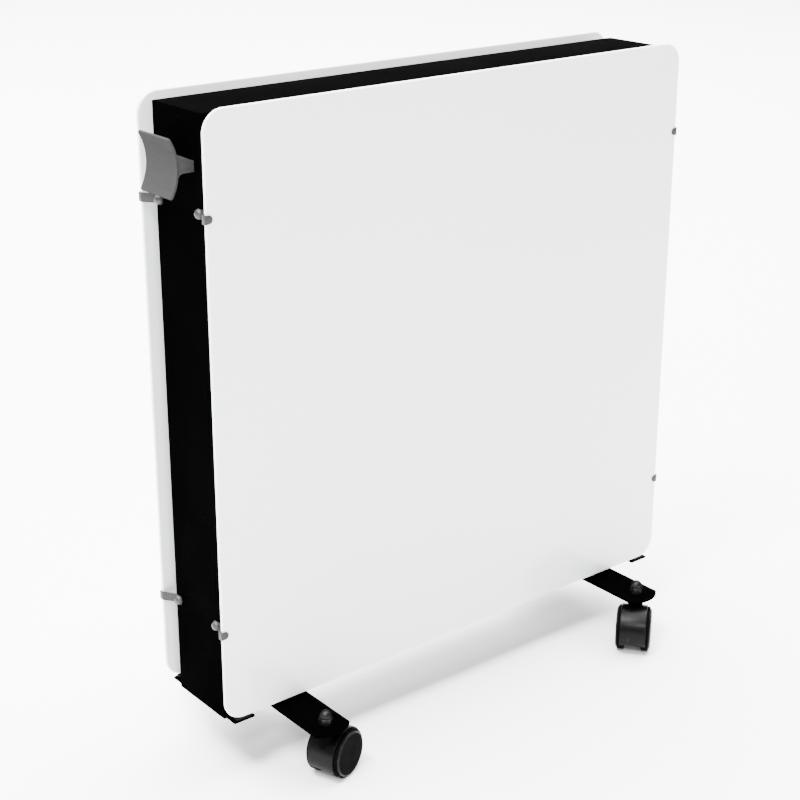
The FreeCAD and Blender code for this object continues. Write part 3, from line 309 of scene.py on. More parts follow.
def skin(loops, ends="capped"):
    """Quads between successive loops of equal length, stacked as (loops, points, 3).

    Capped ends close the first and the last loop, joined ends run the last loop back to the first,
    and open ends leave both.
    """
    loops = np.asarray(loops, dtype=float)
    rows, columns = loops.shape[:2]
    here = np.arange(rows * columns).reshape(rows, columns)
    ahead = np.roll(here, -1, axis=1)
    above = np.roll(here, -1, axis=0)
    above_ahead = np.roll(ahead, -1, axis=0)
    quads = np.stack([here, ahead, above_ahead, above], axis=-1)
    if ends != "joined":
        quads = quads[:-1]
    faces = quads.reshape(-1, 4).tolist()
    if ends == "capped":
        faces.append(here[0, ::-1].tolist())
        faces.append(here[-1].tolist())
    return loops.reshape(-1, 3), faces


def turned(vertices, faces):
    """The same faces, wound the other way."""
    return vertices, [face[::-1] for face in faces]


def rounded_rectangle(width, height, radius, steps=12):
    """Points round a rectangle with round corners, anticlockwise, centred on zero."""
    angles = np.linspace(0.0, math.pi / 2, steps) + np.arange(4)[:, None] * math.pi / 2
    sides = np.array([(1, 1), (-1, 1), (-1, -1), (1, -1)])[:, None]
    corners = sides * (width / 2 - radius, height / 2 - radius)
    return (corners + radius * np.stack([np.cos(angles), np.sin(angles)], axis=-1)).reshape(-1, 2)


def ring(radius, steps=32, centre=(0.0, 0.0)):
    """Points round a circle, anticlockwise."""
    angles = np.linspace(0.0, 2 * math.pi, steps, endpoint=False)
    return np.column_stack([np.cos(angles), np.sin(angles)]) * radius + centre


def close_points(outline, step):
    """The same closed outline with points added so that none are further apart than a step.

    Each edge is cut into as few equal lengths as that takes.
    """
    edge = np.roll(outline, -1, axis=0) - outline
    counts = np.maximum(1, np.ceil(np.linalg.norm(edge, axis=1) / step)).astype(int)
    corner = np.repeat(np.arange(len(outline)), counts)
    along = np.arange(counts.sum()) - np.repeat(np.cumsum(counts) - counts, counts)
    return outline[corner] + edge[corner] * along[:, None] / counts[corner, None]


def inset(outline, distance):
    """An anticlockwise outline moved inwards: each corner slides along its two edges' mitre."""
    edge = np.roll(outline, -1, axis=0) - outline
    edge /= np.linalg.norm(edge, axis=1, keepdims=True)
    after = np.column_stack([-edge[:, 1], edge[:, 0]])
    before = np.roll(after, 1, axis=0)
    share = 1.0 + np.sum(after * before, axis=1, keepdims=True)
    return outline + distance * (after + before) / share


def slab_loops(outline, low, high, edge, steps=4):
    """Loops of a plate: an outline carried from low to high, with quarter-round edges."""
    angles = np.linspace(0.0, math.pi / 2, steps + 1)
    inward = edge * (1.0 - np.sin(angles))
    rise = edge * (1.0 - np.cos(angles))
    levels = np.concatenate([low + rise, (high - rise)[::-1]])
    insets = np.concatenate([inward, inward[::-1]])
    return np.stack(
        [
            np.column_stack([inset(outline, distance), np.full(len(outline), level)])
            for distance, level in zip(insets, levels)
        ]
    )


def slab(outline, low, high, edge, holes=()):
    """A plate with quarter-round edges and openings, in its own X, Y and Z.

    The outline and each opening are rims of loops from low to high. An opening's loops run the other
    way round, so that its edges are rounded into the plate. Triangles between the end loops fill
    both faces.
    """
    rims = [slab_loops(outline, low, high, edge)]
    rims += [slab_loops(hole[::-1], low, high, edge) for hole in holes]
    starts = np.cumsum([0] + [rim.shape[0] * rim.shape[1] for rim in rims])
    vertices = np.concatenate([rim.reshape(-1, 3) for rim in rims])
    faces = []
    lowest = []
    highest = []
    for rim, start in zip(rims, starts):
        rows, columns = rim.shape[:2]
        faces += shifted(skin(rim, "open")[1], start)
        lowest.append(start + np.arange(columns))
        highest.append(start + (rows - 1) * columns + np.arange(columns))
    flat = vertices * (1, 1, 0)
    for loops, up in ((lowest, -1.0), (highest, 1.0)):
        filled = np.array(tessellate_polygon([flat[loop].tolist() for loop in loops]))
        corners = np.concatenate(loops)[filled]
        a, b, c = (vertices[corners[:, k], :2] for k in range(3))
        area = (b - a)[:, 0] * (c - a)[:, 1] - (b - a)[:, 1] * (c - a)[:, 0]
        faces += (corners if area.sum() * up > 0 else corners[:, ::-1]).tolist()
    return vertices, faces


def swapped(part, order, signs=(1, 1, 1), shift=(0, 0, 0)):
    """A part whose axes are taken in another order, turned by signs and shifted, faces outward."""
    vertices, faces = part
    moved = vertices[:, order] * np.array(signs) + np.array(shift)
    parity = np.linalg.det(np.eye(3)[list(order)]) * np.prod(signs)
    return turned(moved, faces) if parity < 0 else (moved, faces)


def lathe(profile, steps=64, ends="capped"):
    """A profile of (radius, height) carried round Z, whose radii may be arrays over the angles."""
    around = ring(1.0, steps)
    loops = []
    for radius, height in profile:
        loop = np.column_stack([around * np.reshape(radius, (-1, 1)), np.full(steps, height)])
        loops.append(loop)
    return skin(np.stack(loops), ends)


def hexagon_radius(flats, steps):
    """Distance from the middle to a hexagon's side, over evenly spaced angles."""
    angles = np.linspace(0.0, 2 * math.pi, steps, endpoint=False)
    within = (angles + math.pi / 6) % (math.pi / 3) - math.pi / 6
    return flats / 2 / np.cos(within)


def arc(centre, radius, start, end, steps):
    """Points on an arc between two angles in degrees, as pairs."""
    angles = np.radians(np.linspace(start, end, steps))
    return list(zip(centre[0] + radius * np.cos(angles), centre[1] + radius * np.sin(angles)))


def placed(part, origin, axis):
    """A part whose Z axis is turned to a direction and whose zero is moved to a point."""
    vertices, faces = part
    turn = np.array(Vector((0, 0, 1)).rotation_difference(Vector(axis)).to_matrix())
    return vertices @ turn.T + np.array(origin), faces


def about_y(angle):
    """A turn about Y, as a matrix."""
    cosine, sine = math.cos(angle), math.sin(angle)
    return np.array([[cosine, 0, sine], [0, 1, 0], [-sine, 0, cosine]])


# Sizes that more than one piece takes, in millimetres

# Radii of a screw's hole and head, and the head's height
SCREW_HOLE = 2.8
SCREW_HEAD = 5.0
SCREW_RISE = 4.5
# The bracket's sheet, and half the height of its legs at the wall
BRACKET_SHEET = 2.5
LEG_ROOT = 5.1
# Radii of the gland's thread and bore
GLAND_THREAD = 8.0
GLAND_BORE = 4.0
# Half the width and half the height of the switch's case
SWITCH_CASE = (6.4, 9.5)


# Glass panels


def glass_panel(node):
    """A sheet with round corners and a pencil-polished rim, whose rim has its own tint."""
    corner = 22.0
    rim_share = 0.48
    low, high = millimetres(node)
    middle = (low + high) / 2
    outline = rounded_rectangle(high[0] - low[0], high[2] - low[2], corner, steps=24)
    loops = slab_loops(outline, low[1], high[1], rim_share * (high[1] - low[1]), steps=6)
    vertices, faces = swapped(skin(loops), (0, 2, 1), shift=(middle[0], 0, middle[2]))
    index = np.ones(len(faces))
    index[-2:] = 0
    piece(node, [(vertices, faces, index)], (GLASS_RIM,))


# Casing, strips and pads


def wall(node, thin, corner, edge, holes=()):
    """A flat wall with eased edges, whose thin axis is 0 or 2, and openings in its other axes."""
    low, high = millimetres(node)
    middle = (low + high) / 2
    size = high - low
    wide, tall = [axis for axis in range(3) if axis != thin]
    outline = rounded_rectangle(size[wide], size[tall], corner, steps=6)
    openings = [hole - (middle[wide], middle[tall]) for hole in holes]
    part = slab(outline, -size[thin] / 2, size[thin] / 2, edge, openings)
    order = [0, 0, 0]
    order[wide], order[tall], order[thin] = 0, 1, 2
    vertices, faces = swapped(part, order, shift=middle)
    piece(node, [(vertices, faces, 0)])


def casing():
    """Four walls, with openings for the screws, the bracket's legs, the gland and the switch."""
    corner = 0.6
    ease = 0.5
    leg_play = 0.6
    leg_corner = 0.3
    gland_play = 0.1
    window_play = 0.4
    window_corner = 0.4
    _, depths, heights = corner_places("clip_screws", (0.0, SCREW_HEAD, SCREW_HEAD))
    clip_holes = [ring(SCREW_HOLE, steps=24, centre=(y, z)) for y in depths for z in heights]
    low, high = millimetres("cord_bracket")
    leg_height = (low[2] + high[2]) / 2
    leg_depths = (low[1] + BRACKET_SHEET / 2, high[1] - BRACKET_SHEET / 2)
    slot = rounded_rectangle(BRACKET_SHEET + leg_play, 2 * LEG_ROOT + leg_play, leg_corner, steps=3)
    leg_holes = [slot + (y, leg_height) for y in leg_depths]
    wall("casing_left_end", 0, corner, ease, clip_holes + leg_holes)
    gland_middle = (0.0, middle_of("inlet_gland")[2])
    gland_hole = ring(GLAND_THREAD + gland_play, steps=48, centre=gland_middle)
    wide, tall = (2 * half + window_play for half in SWITCH_CASE)
    window = rounded_rectangle(wide, tall, window_corner, steps=3)
    window_hole = window + (0.0, middle_of("switch_housing")[2])
    wall("casing_right_end", 0, corner, ease, [*clip_holes, gland_hole, window_hole])
    wall("casing_top", 2, corner, ease)
    across, depths, _ = corner_places("foot_bar_screws", (SCREW_HEAD, SCREW_HEAD, 0.0))
    bar_holes = [ring(SCREW_HOLE, steps=24, centre=(x, y)) for x in across for y in depths]
    wall("casing_bottom", 2, corner, ease, bar_holes)


def rest_strips():
    """Two flat strips under the panels."""
    for side in ("left", "right"):
        wall(f"rest_strip_{side}", 2, corner=1.0, edge=0.4)


def rest_pads():
    """Four rubber pads with soft corners between the strips and the panels."""
    half = (9.0, 2.5)
    corner = 1.2
    ease = 0.4
    low, high = millimetres("rest_pads")
    outline = rounded_rectangle(2 * half[0], 2 * half[1], corner, steps=6)
    vertices, faces = slab(outline, low[2], high[2], ease)
    across, depths, _ = corner_places("rest_pads", (*half, 0.0))
    piece("rest_pads", [(vertices + (x, y, 0), faces, 0) for x in across for y in depths])


# Foot bars


def foot_bar(node):
    """A flat bar with bowed ends, eased edges and holes for its two castors and two screws."""
    bow = 29.0
    ease = 0.5
    stem_hole = 4.3
    low, high = millimetres(node)
    middle = (low[0] + high[0]) / 2
    half = (high[0] - low[0]) / 2
    lean = math.degrees(math.asin(half / bow))
    far = arc((0.0, high[1] - bow), bow, 90 - lean, 90 + lean, steps=25)
    near = arc((0.0, bow - high[1]), bow, 270 - lean, 270 + lean, steps=25)
    swivel = joint_place("castor_rear_left_swivel")[1]
    _, depths, _ = corner_places("foot_bar_screws", (SCREW_HEAD, SCREW_HEAD, 0.0))
    holes = [ring(stem_hole, centre=(0.0, y)) for y in (-swivel, swivel)]
    holes += [ring(SCREW_HOLE, steps=24, centre=(0.0, y)) for y in depths]
    vertices, faces = slab(np.array(far + near), low[2], high[2], ease, holes)
    piece(node, [(vertices + (middle, 0, 0), faces, 0)])


# Cord-wrap bracket


def bracket():
    """A bowed plate with round corners on two legs, which fold flat behind the end wall.

    The plate is a flat slab with extra rings inside its rim, wrapped round a cylinder that stands
    outside it: height becomes angle, and thickness becomes distance from the cylinder's axis. A leg
    is a flat slab: level at the wall, it slopes up to the plate above and curves down to it below.
    """
    bow = 48.5
    corner = 3.0
    ease = 0.5
    point_gap = 1.5
    ring_count = 24
    inmost_ring = 0.02
    rise = 12.3
    fillet = 5.5
    fold_reach = 16.0
    fold_corner = 0.6
    leg_ease = 0.3
    half_sheet = BRACKET_SHEET / 2
    low, high = millimetres("cord_bracket")
    chord = high[2] - low[2]
    length = high[1] - low[1]
    middle = (low[2] + high[2]) / 2
    face = low[0] + bow - math.sqrt(bow**2 - (chord / 2) ** 2)
    neutral = bow + half_sheet
    swing = 2 * math.asin(chord / 2 / neutral)
    outline = rounded_rectangle(length, swing * neutral, corner, steps=10)
    loops = slab_loops(close_points(outline, point_gap), 0.0, BRACKET_SHEET, ease)
    shrink = np.linspace(1.0, inmost_ring, ring_count)[1:, None, None] * (1, 1, 0) + (0, 0, 1)
    vertices, faces = skin(np.concatenate([(loops[0] * shrink)[::-1], loops, loops[-1] * shrink]))
    angle = vertices[:, 1] / neutral
    distance = bow + vertices[:, 2]
    across = face - bow + distance * np.cos(angle)
    plate = np.column_stack([across, vertices[:, 0], middle + distance * np.sin(angle)])
    parts = [(plate, faces, 0)]
    wall_low, wall_high = millimetres("casing_left_end")
    inside = wall_high[0] + BRACKET_SHEET
    join = face + half_sheet
    profile = arc((join + fillet, -LEG_ROOT - fillet), fillet, 180, 90, steps=9)
    profile += [(inside, -LEG_ROOT), (inside, LEG_ROOT), (wall_low[0], LEG_ROOT), (join, rise)]
    leg = slab(np.array(profile) + (0.0, middle), -half_sheet, half_sheet, leg_ease)
    fold_outline = rounded_rectangle(fold_reach, 2 * LEG_ROOT, fold_corner, steps=4)
    fold = slab(fold_outline, wall_high[0], inside, leg_ease)
    for side in (-1, 1):
        leg_shift = (0, side * (length - BRACKET_SHEET) / 2, 0)
        fold_shift = (0, side * (length - fold_reach) / 2, middle)
        parts.append((*swapped(leg, (0, 2, 1), shift=leg_shift), 0))
        parts.append((*swapped(fold, (2, 0, 1), shift=fold_shift), 0))
    piece("cord_bracket", parts)


# Screws and nuts


def dome_screw():
    """A screw that points down from a seat at zero: its shank, a short rim and a ball's cap."""
    length = 12.0
    shank = 2.5
    chamfer = 0.6
    rim = 0.3
    soft = 0.15
    tip = 0.2
    lift = SCREW_RISE - rim
    ball = (SCREW_HEAD**2 + lift**2) / (2 * lift)
    spread = math.degrees(math.asin(SCREW_HEAD / ball))
    profile = [(tip, -length), (shank - chamfer, -length), (shank, chamfer - length), (shank, 0.0)]
    profile += [(SCREW_HEAD - soft, 0.0), (SCREW_HEAD, soft)]
    profile += arc((0.0, SCREW_RISE - ball), ball, 90 - spread, 89, steps=18)
    return lathe(profile, steps=48)


def clip_screws():
    """The eight screws of the panel clips, each on its clip's flange."""
    screw = dome_screw()
    seats, depths, heights = corner_places("clip_screws", (SCREW_RISE, SCREW_HEAD, SCREW_HEAD))
    parts = []
    for x in seats:
        outward = (math.copysign(1, x), 0, 0)
        parts += [(*placed(screw, (x, y, z), outward), 0) for y in depths for z in heights]
    piece("clip_screws", parts)


def bar_screws():
    """The screws under the foot bars."""
    screw = dome_screw()
    across, depths, levels = corner_places("foot_bar_screws", (SCREW_HEAD, SCREW_HEAD, SCREW_RISE))
    parts = [(*placed(screw, (x, y, levels[0]), (0, 0, -1)), 0) for x in across for y in depths]
    piece("foot_bar_screws", parts)


def dome_nuts():
    """Cap nuts: a chamfered hexagon, a waist and a ball top, bored from below for the stem."""
    steps = 72
    flats = 13.0
    blunt = 6.9
    tall = 6.5
    chamfer = 0.7
    ball = 6.25
    waist = [(0.15, 0.12), (-0.25, 0.5), (-0.1, 1.0)]
    bore = 4.05
    bore_depth = 12.4
    bore_tip = 0.2
    low, high = millimetres("castor_dome_nuts")
    sides = hexagon_radius(flats, steps)
    chamfered = np.minimum(sides, blunt)
    profile = [(bore_tip, bore_depth), (bore, bore_depth), (bore, 0.0), (chamfered, 0.0)]
    profile += [(sides, chamfer), (sides, tall - chamfer), (chamfered, tall)]
    profile += [(ball + out, tall + up) for out, up in waist]
    profile += arc((0.0, high[2] - low[2] - ball), ball, 0, 88, steps=18)
    vertices, faces = lathe(profile, steps)
    across, depths, _ = corner_places("castor_dome_nuts", (flats / math.sqrt(3), flats / 2, 0.0))
    parts = [(vertices + (x, y, low[2]), faces, 0) for x in across for y in depths]
    piece("castor_dome_nuts", parts)


# Panel clips


def smooth_path(corners, radii, steps=7):
    """A polyline whose inner corners are rounded by arcs, as points in order."""
    corners = np.asarray(corners, dtype=float)
    points = [corners[:1]]
    for before, here, after, radius in zip(corners, corners[1:], corners[2:], radii):
        back = (before - here) / np.linalg.norm(before - here)
        ahead = (after - here) / np.linalg.norm(after - here)
        half = math.acos(np.clip(np.dot(back, ahead), -1, 1)) / 2
        middle = (back + ahead) / np.linalg.norm(back + ahead) * radius / math.sin(half)
        start = back * radius / math.tan(half) - middle
        end = ahead * radius / math.tan(half) - middle
        swing = math.pi - 2 * half
        share = np.linspace(0.0, 1.0, steps)[:, None]
        mix = np.sin((1 - share) * swing) * start + np.sin(share * swing) * end
        points.append(here + middle + mix / math.sin(swing))
    points.append(corners[-1:])
    return np.concatenate(points)


def crowded(start, end, count):
    """Points between two ends, crowded towards both."""
    share = (1 - np.cos(np.linspace(0.0, math.pi, count))) / 2
    return start + (end - start) * share[:, None]


def strap(path, widths, thickness):
    """A bent strip: a rounded rectangle of changing width carried along a path in a plane."""
    edge = 0.25
    ahead = np.gradient(path, axis=0)
    ahead /= np.linalg.norm(ahead, axis=1, keepdims=True)
    normal = np.column_stack([-ahead[:, 1], ahead[:, 0]])
    sections = np.stack([rounded_rectangle(thickness, width, edge, steps=4) for width in widths])
    flat = path[:, None] + sections[:, :, :1] * normal[:, None]
    return skin(np.concatenate([flat, sections[:, :, 1:]], axis=-1))


def clip_shape():
    """One clip: X is outward from the end wall, Y from the heater's middle, Z up from its own.

    It is a strip bent round the panel's edge. Its width is the chord of a round eye at the flange's
    end, then the strap's own, then the chord of the tab's round tip.
    """
    sheet = 1.0
    half = sheet / 2
    play = 0.2
    bend = 1.8
    bend_play = 0.16
    tab_bend = 0.9
    eye = 5.3
    setback = 6.0
    tab = 6.6
    full = 9.0
    tab_width = 7.8
    least = 0.6
    end_face, cover, _ = millimetres("casing_right_end")[1]
    glass_low, glass_high = millimetres("glass_panel_rear")
    edge = glass_high[0] - end_face + play + half
    outside = glass_high[1] + play + half
    corners = [(half, cover - setback - eye), (half, cover - bend_play)]
    corners += [(edge, glass_low[1] - sheet - bend_play), (edge, outside)]
    corners += [(glass_high[0] - tab - end_face, outside)]
    path = smooth_path(corners, (bend, bend, tab_bend))
    flange = crowded(path[0], path[1], count=24)
    tab_run = crowded(path[-2], path[-1], count=16)
    path = np.concatenate([flange, path[2:-2], tab_run])
    run = np.concatenate([[0.0], np.cumsum(np.linalg.norm(np.diff(path, axis=0), axis=1))])
    eye_half = np.sqrt(np.clip(eye**2 - (run - eye) ** 2, 0.0, None))
    strap_half = np.where(run < eye, eye_half, np.maximum(eye_half, full / 2))
    tip = tab_width / 2 - play
    to_tip = run[-1] - run
    tip_half = play + np.sqrt(tip**2 - (tip - np.minimum(to_tip, tip)) ** 2)
    widening = np.clip((to_tip - tip) / tab, 0.0, 1.0) * (full - tab_width) / 2
    widths = 2 * np.minimum(strap_half, tip_half + widening)
    return strap(path, np.maximum(widths, least), sheet)


def panel_clips():
    """A clip on each corner of each panel, mirrored to its side and end."""
    vertices, faces = clip_shape()
    end_face = millimetres("casing_right_end")[1][0]
    for side, hand in (("left", -1), ("right", 1)):
        for end, sign in (("front", -1), ("rear", 1)):
            wound = faces if hand * sign > 0 else turned(vertices, faces)[1]
            for level in ("lower", "upper"):
                node = f"panel_clip_{side}_{end}_{level}"
                place = (hand * end_face, 0, middle_of(node)[2])
                piece(node, [(vertices * (hand, sign, 1) + place, wound, 0)])


# Castors


def hood_shape():
    """Castor hood in its own frame: the swivel axis is Z, and the axle crosses X at the trail.

    The fender is a cross-section carried round the axle. At each radius it starts and ends where it
    meets the level cut, so both ends are flat. A solid core and a neck join it. Fender and core are
    satin, the neck is matt.
    """
    trail = 15.0
    axle = 25.0
    axle_hole = 2.55
    outer = 26.5
    inner = 25.5
    half = 14.4
    core_half = 9.05
    cut = 14.0
    ease = 0.4
    soft = 0.2
    fender_steps = 97
    section = [(inner, soft - half), (inner + soft, -half)]
    section += arc((outer - ease, ease - half), ease, -90, 0, steps=6)
    section += arc((outer - ease, half - ease), ease, 0, 90, steps=6)
    section += [(inner + soft, half), (inner, half - soft)]
    radius, width = np.array(section).T
    dip = np.arcsin((axle - cut) / radius)
    angles = -dip + np.linspace(0.0, 1.0, fender_steps)[:, None] * (math.pi + 2 * dip)
    across = trail + radius * np.cos(angles)
    up = axle + radius * np.sin(angles)
    loops = np.stack([across, np.broadcast_to(width, angles.shape), up], axis=-1)
    fender = turned(*skin(loops))
    core_dip = math.degrees(math.asin((axle - cut) / inner))
    disc = np.array(arc((trail, axle), inner, -core_dip, 180 + core_dip, steps=80))
    hole = ring(axle_hole, centre=(trail, axle))
    core = swapped(slab(disc, -core_half, core_half, ease, [hole]), (0, 2, 1))
    neck_radius = 8.5
    neck_ease = 0.6
    stem = 4.05
    foot = 36.0
    top = 56.6
    profile = [(stem, foot), (neck_radius, foot)]
    profile += arc((neck_radius - neck_ease, top - neck_ease), neck_ease, 0, 90, steps=5)
    profile += [(stem, top)]
    neck = lathe(profile, ends="joined")
    return [(*fender, 0), (*core, 0), (*neck, 1)]


def wheel_shape():
    """A disc wheel round Z, outer face up: a tread, a shoulder, a groove and a raised face.

    The face's rounded rim is smooth and has a finish of its own.
    """
    steps = 96
    radius = 25.0
    inner = -4.2
    outer = 4.2
    face = 5.6
    face_rings = (18.0, 12.0, 7.0, 3.0, 0.3)
    bore = 2.55
    bore_end = 1.75
    bore_tip = 0.2
    shoulder = 1.1
    shoulder_drop = 0.4
    groove_step = 0.3
    groove_width = 0.4
    groove_depth = 0.7
    rim = 2.0
    profile = [(bore_tip, bore_end), (bore, bore_end), (bore, inner), (radius - shoulder, inner)]
    profile += arc((radius - shoulder, inner + shoulder), shoulder, -90, 0, steps=5)[1:]
    profile += arc((radius - shoulder, outer - shoulder_drop - shoulder), shoulder, 0, 80, steps=7)
    groove = radius - shoulder - groove_step
    raised = groove - groove_width
    groove_floor = outer - groove_depth
    profile += [(groove, groove_floor), (raised, groove_floor)]
    below_rim = len(profile)
    profile += arc((raised - rim, face - rim), rim, 8, 84, steps=9)
    above_rim = len(profile) - 1
    profile += [(distance, face) for distance in face_rings]
    vertices, faces = lathe(profile, steps)
    index = np.zeros(len(faces))
    index[below_rim * steps : above_rim * steps] = 1
    return vertices, faces, index


def castors():
    """Hoods and wheels at their resting headings, read from the joints."""
    hood = hood_shape()
    *wheel, wheel_index = wheel_shape()
    for name in [f"castor_{end}_{side}" for end in ("front", "rear") for side in ("left", "right")]:
        swivel = joint_place(f"{name}_swivel")
        hubs = {hand: joint_place(f"{name}_wheel_{hand}_spin") for hand in ("left", "right")}
        middle = (hubs["left"] + hubs["right"]) / 2
        along = (middle - swivel)[:2] / np.linalg.norm((middle - swivel)[:2])
        turn = np.array([[along[0], -along[1], 0], [along[1], along[0], 0], [0, 0, 1]])
        foot = (swivel[0], swivel[1], 0)
        parts = [(vertices @ turn.T + foot, faces, index) for vertices, faces, index in hood]
        piece(f"{name}_hood", parts, (FINISHES["wheel_plastic"],))
        for hand, hub in hubs.items():
            parts = [(*placed(wheel, hub, hub - middle), wheel_index)]
            piece(f"{name}_wheel_{hand}", parts, (WHEEL_RIM,))


# Mains inlet gland and rocker switch


def gland():
    """The gland's body: a chamfered hexagon outside the wall, a thread through it, an open bore."""
    steps = 96
    flats = 19.0
    corner_left = 0.5
    tall = 5.0
    low_chamfer = 0.6
    high_chamfer = 0.9
    thread = 10.0
    thread_chamfer = 0.8
    sides = hexagon_radius(flats, steps)
    chamfered = np.minimum(sides, flats / 2 + corner_left)
    profile = [(GLAND_BORE, -thread), (GLAND_THREAD - thread_chamfer, -thread)]
    profile += [(GLAND_THREAD, thread_chamfer - thread), (GLAND_THREAD, 0.0), (chamfered, 0.0)]
    profile += [(sides, low_chamfer), (sides, tall - high_chamfer), (chamfered, tall)]
    profile += [(GLAND_BORE, tall)]
    seat = (millimetres("casing_right_end")[1][0], 0.0, middle_of("inlet_gland")[2])
    piece("inlet_gland", [(*placed(lathe(profile, steps, "joined"), seat, (1, 0, 0)), 0)])


def gland_cap():
    """The gland's cap: a barrel whose radius waves with the angle for grip, and a domed nose."""
    steps = 192
    ridges = 24
    ridge_depth = 0.5
    ridge_flat = 0.5
    barrel = 9.0
    chamfer = 0.6
    shoulder = 8.4
    shoulder_setback = 1.4
    shoulder_round = 0.9
    nose = 7.0
    nose_round = 2.2
    nose_foot = [(0.1, -0.2), (0.0, 0.5)]
    mouth = 0.4
    angles = np.linspace(0.0, 2 * math.pi, steps, endpoint=False)
    grip = barrel - ridge_depth * np.clip(ridge_flat + np.cos(ridges * angles), 0.0, 1.0)
    low, high = millimetres("inlet_gland_cap")
    length = high[0] - low[0]
    brow = shoulder - shoulder_setback
    profile = [(GLAND_BORE, 0.0), (barrel - chamfer, 0.0), (grip, chamfer), (grip, brow)]
    profile += arc((barrel - shoulder_setback, brow), shoulder_round, 30, 90, steps=5)
    profile += [(nose + out, shoulder + up) for out, up in nose_foot]
    profile += arc((nose - nose_round, length - nose_round), nose_round, 0, 90, steps=9)
    profile += [(GLAND_BORE + mouth, length), (GLAND_BORE, length - mouth)]
    seat = (low[0], 0.0, (low[2] + high[2]) / 2)
    piece("inlet_gland_cap", [(*placed(lathe(profile, steps, "joined"), seat, (1, 0, 0)), 0)])


def switch_housing():
    """A bezel round a well, with a case behind it: rounded rectangles at successive levels.

    The loops go up the well from its floor, over the bezel's two soft edges, and back along the
    case.
    """
    sheet = 1.4
    edge = 0.25
    edge_steps = 5
    steps = 8
    well_corner = 0.3
    bezel_corner = 1.6
    case_corner = 0.6
    low, high = millimetres("switch_housing")
    wall_face = millimetres("casing_right_end")[1][0]
    wide, tall = SWITCH_CASE
    well = rounded_rectangle(2 * (wide - sheet), 2 * (tall - sheet), well_corner, steps)
    bezel = rounded_rectangle(high[1] - low[1], high[2] - low[2], bezel_corner, steps)
    case = rounded_rectangle(2 * wide, 2 * tall, case_corner, steps)
    angles = np.linspace(0.0, math.pi / 2, edge_steps)
    drops = high[0] - edge * (1.0 - np.sin(angles))
    growth = edge * (1.0 - np.cos(angles))
    stack = [(well, low[0] + sheet)]
    stack += [(inset(well, -more), level) for more, level in zip(growth, drops)]
    stack += [(inset(bezel, more), level) for more, level in zip(growth[::-1], drops[::-1])]
    stack += [(bezel, wall_face), (case, wall_face), (case, low[0])]
    loops = [np.column_stack([outline, np.full(len(outline), level)]) for outline, level in stack]
    shell = turned(*skin(loops))
    shift = (0, 0, (low[2] + high[2]) / 2)
    piece("switch_housing", [(*swapped(shell, (2, 0, 1), shift=shift), 0)])


def switch_rocker():
    """A flat profile carried across the case, with a pin and two marks, turned to its rest."""
    reach = 7.4
    brow = 9.2
    brow_half = 6.25
    belly = 1.5
    belly_half = 7.05
    back = 2.96
    half_width = 4.65
    ease = 0.35
    pin_radius = 1.2
    pin_stub = 0.9
    pin_ease = 0.2
    lift = 0.08
    mark_ease = 0.03
    bar_size = (0.5, 2.6)
    bar_corner = 0.2
    loop_outer = 1.3
    loop_inner = 0.85
    tilt = math.radians(10.0)
    profile = [(belly, -belly_half), (brow, -brow_half), (reach, 0.0), (brow, brow_half)]
    profile += [(belly, belly_half), (-back, reach / 2), (-back, -reach / 2)]
    body = slab(np.array(profile), -half_width, half_width, ease)
    pin_reach = half_width + pin_stub
    pin = slab(ring(pin_radius, steps=24), -pin_reach, pin_reach, pin_ease)
    bar = slab(rounded_rectangle(*bar_size, bar_corner, steps=4), -lift, lift, mark_ease)
    hole = ring(loop_inner, steps=40)
    loop = slab(ring(loop_outer, steps=40), -lift, lift, mark_ease, [hole])
    parts = [(*swapped(part, (0, 2, 1)), 0) for part in (body, pin)]
    slope = math.atan2(brow - reach, brow_half)
    for mark, side in ((bar, 1), (loop, -1)):
        vertices, faces = swapped(mark, (2, 0, 1))
        place = ((brow + reach) / 2, 0, side * brow_half / 2)
        parts.append((vertices @ about_y(side * slope).T + place, faces, 1))
    pivot = joint_place("switch_rocker_tilt")
    parts = [(vertices @ about_y(tilt).T + pivot, faces, index) for vertices, faces, index in parts]
    piece("switch_rocker", parts, (SWITCH_MARK,))


glass_panel("glass_panel_front")
glass_panel("glass_panel_rear")
casing()
rest_strips()
rest_pads()
foot_bar("foot_bar_left")
foot_bar("foot_bar_right")
bracket()
clip_screws()
bar_screws()
dome_nuts()
panel_clips()
castors()
gland()
gland_cap()
switch_housing()
switch_rocker()

# CAD nodes that stay as they are take the finishes of their slots
for node, shown in frame["nodes"].items():
    shown.data.materials.clear()
    shown.data.materials.append(FINISHES[node_slot[node]])


# Floor, light and camera


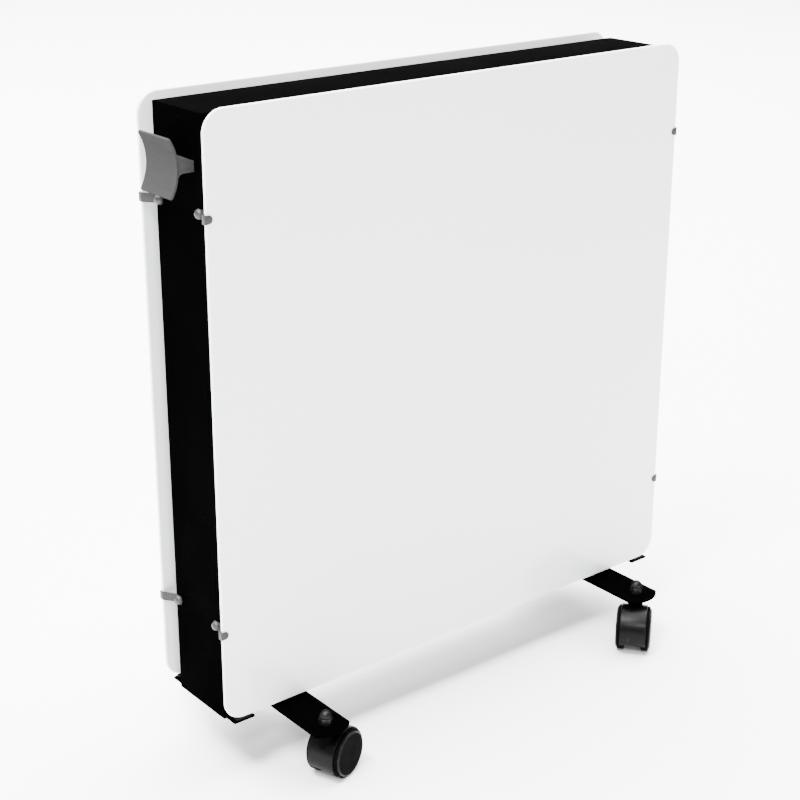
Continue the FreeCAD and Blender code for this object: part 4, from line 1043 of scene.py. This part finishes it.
def pale_floor():
    """A wide pale floor with a faint, fine unevenness."""
    half = 12.0
    corners = [(-half, -half, 0), (half, -half, 0), (half, half, 0), (-half, half, 0)]
    mesh = bpy.data.meshes.new("floor")
    mesh.from_pydata(corners, [], [(0, 1, 2, 3)])
    made = Finish("floor", grey(0.90), roughness=0.8, gloss=0.1)
    made.vary_colour(made.noise(scale=1.2), other=grey(0.885))
    mesh.materials.append(made.material)
    floor = bpy.data.objects.new("floor", mesh)
    bpy.context.collection.objects.link(floor)


def soft_light(name, place, aim, size, power):
    """A square area light that points at a spot."""
    data = bpy.data.lights.new(name, "AREA")
    data.shape = "SQUARE"
    data.size = size
    data.energy = power
    lamp = bpy.data.objects.new(name, data)
    lamp.location = place
    lamp.rotation_euler = (Vector(aim) - Vector(place)).to_track_quat("-Z", "Y").to_euler()
    bpy.context.collection.objects.link(lamp)


def studio():
    """White surroundings, a wide light above and behind, and smaller ones from front and left."""
    world = bpy.data.worlds.new("studio")
    world.use_nodes = True
    background = world.node_tree.nodes["Background"]
    background.inputs["Color"].default_value = (1.0, 1.0, 1.0, 1.0)
    background.inputs["Strength"].default_value = 1.5
    bpy.context.scene.world = world
    soft_light("overhead", (1.1, 2.6, 4.4), aim=(1.1, 2.6, 0.0), size=8.0, power=4100.0)
    soft_light("front", (-1.6, -1.75, 2.15), aim=(0.0, 0.0, 0.2), size=0.6, power=85.0)
    soft_light("left", (-2.2, -0.6, 4.4), aim=(-0.3, 0.0, 0.5), size=1.2, power=450.0)


def camera():
    """The photo's view: its place, its direction with the slight roll, and its focal length."""
    data = bpy.data.cameras.new("camera")
    data.sensor_width = 36.0
    data.lens = 74.79
    data.shift_y = -0.0375
    eye = bpy.data.objects.new("camera", data)
    eye.location = (-1.04916, -1.24970, 0.94178)
    ahead = Vector((0.59116, 0.73064, -0.34161)).normalized()
    right = Vector((0.77765, -0.62870, 0.00105))
    up = right.cross(ahead).normalized()
    eye.rotation_euler = Matrix((ahead.cross(up), up, -ahead)).transposed().to_euler()
    bpy.context.collection.objects.link(eye)
    bpy.context.scene.camera = eye


pale_floor()
studio()
camera()
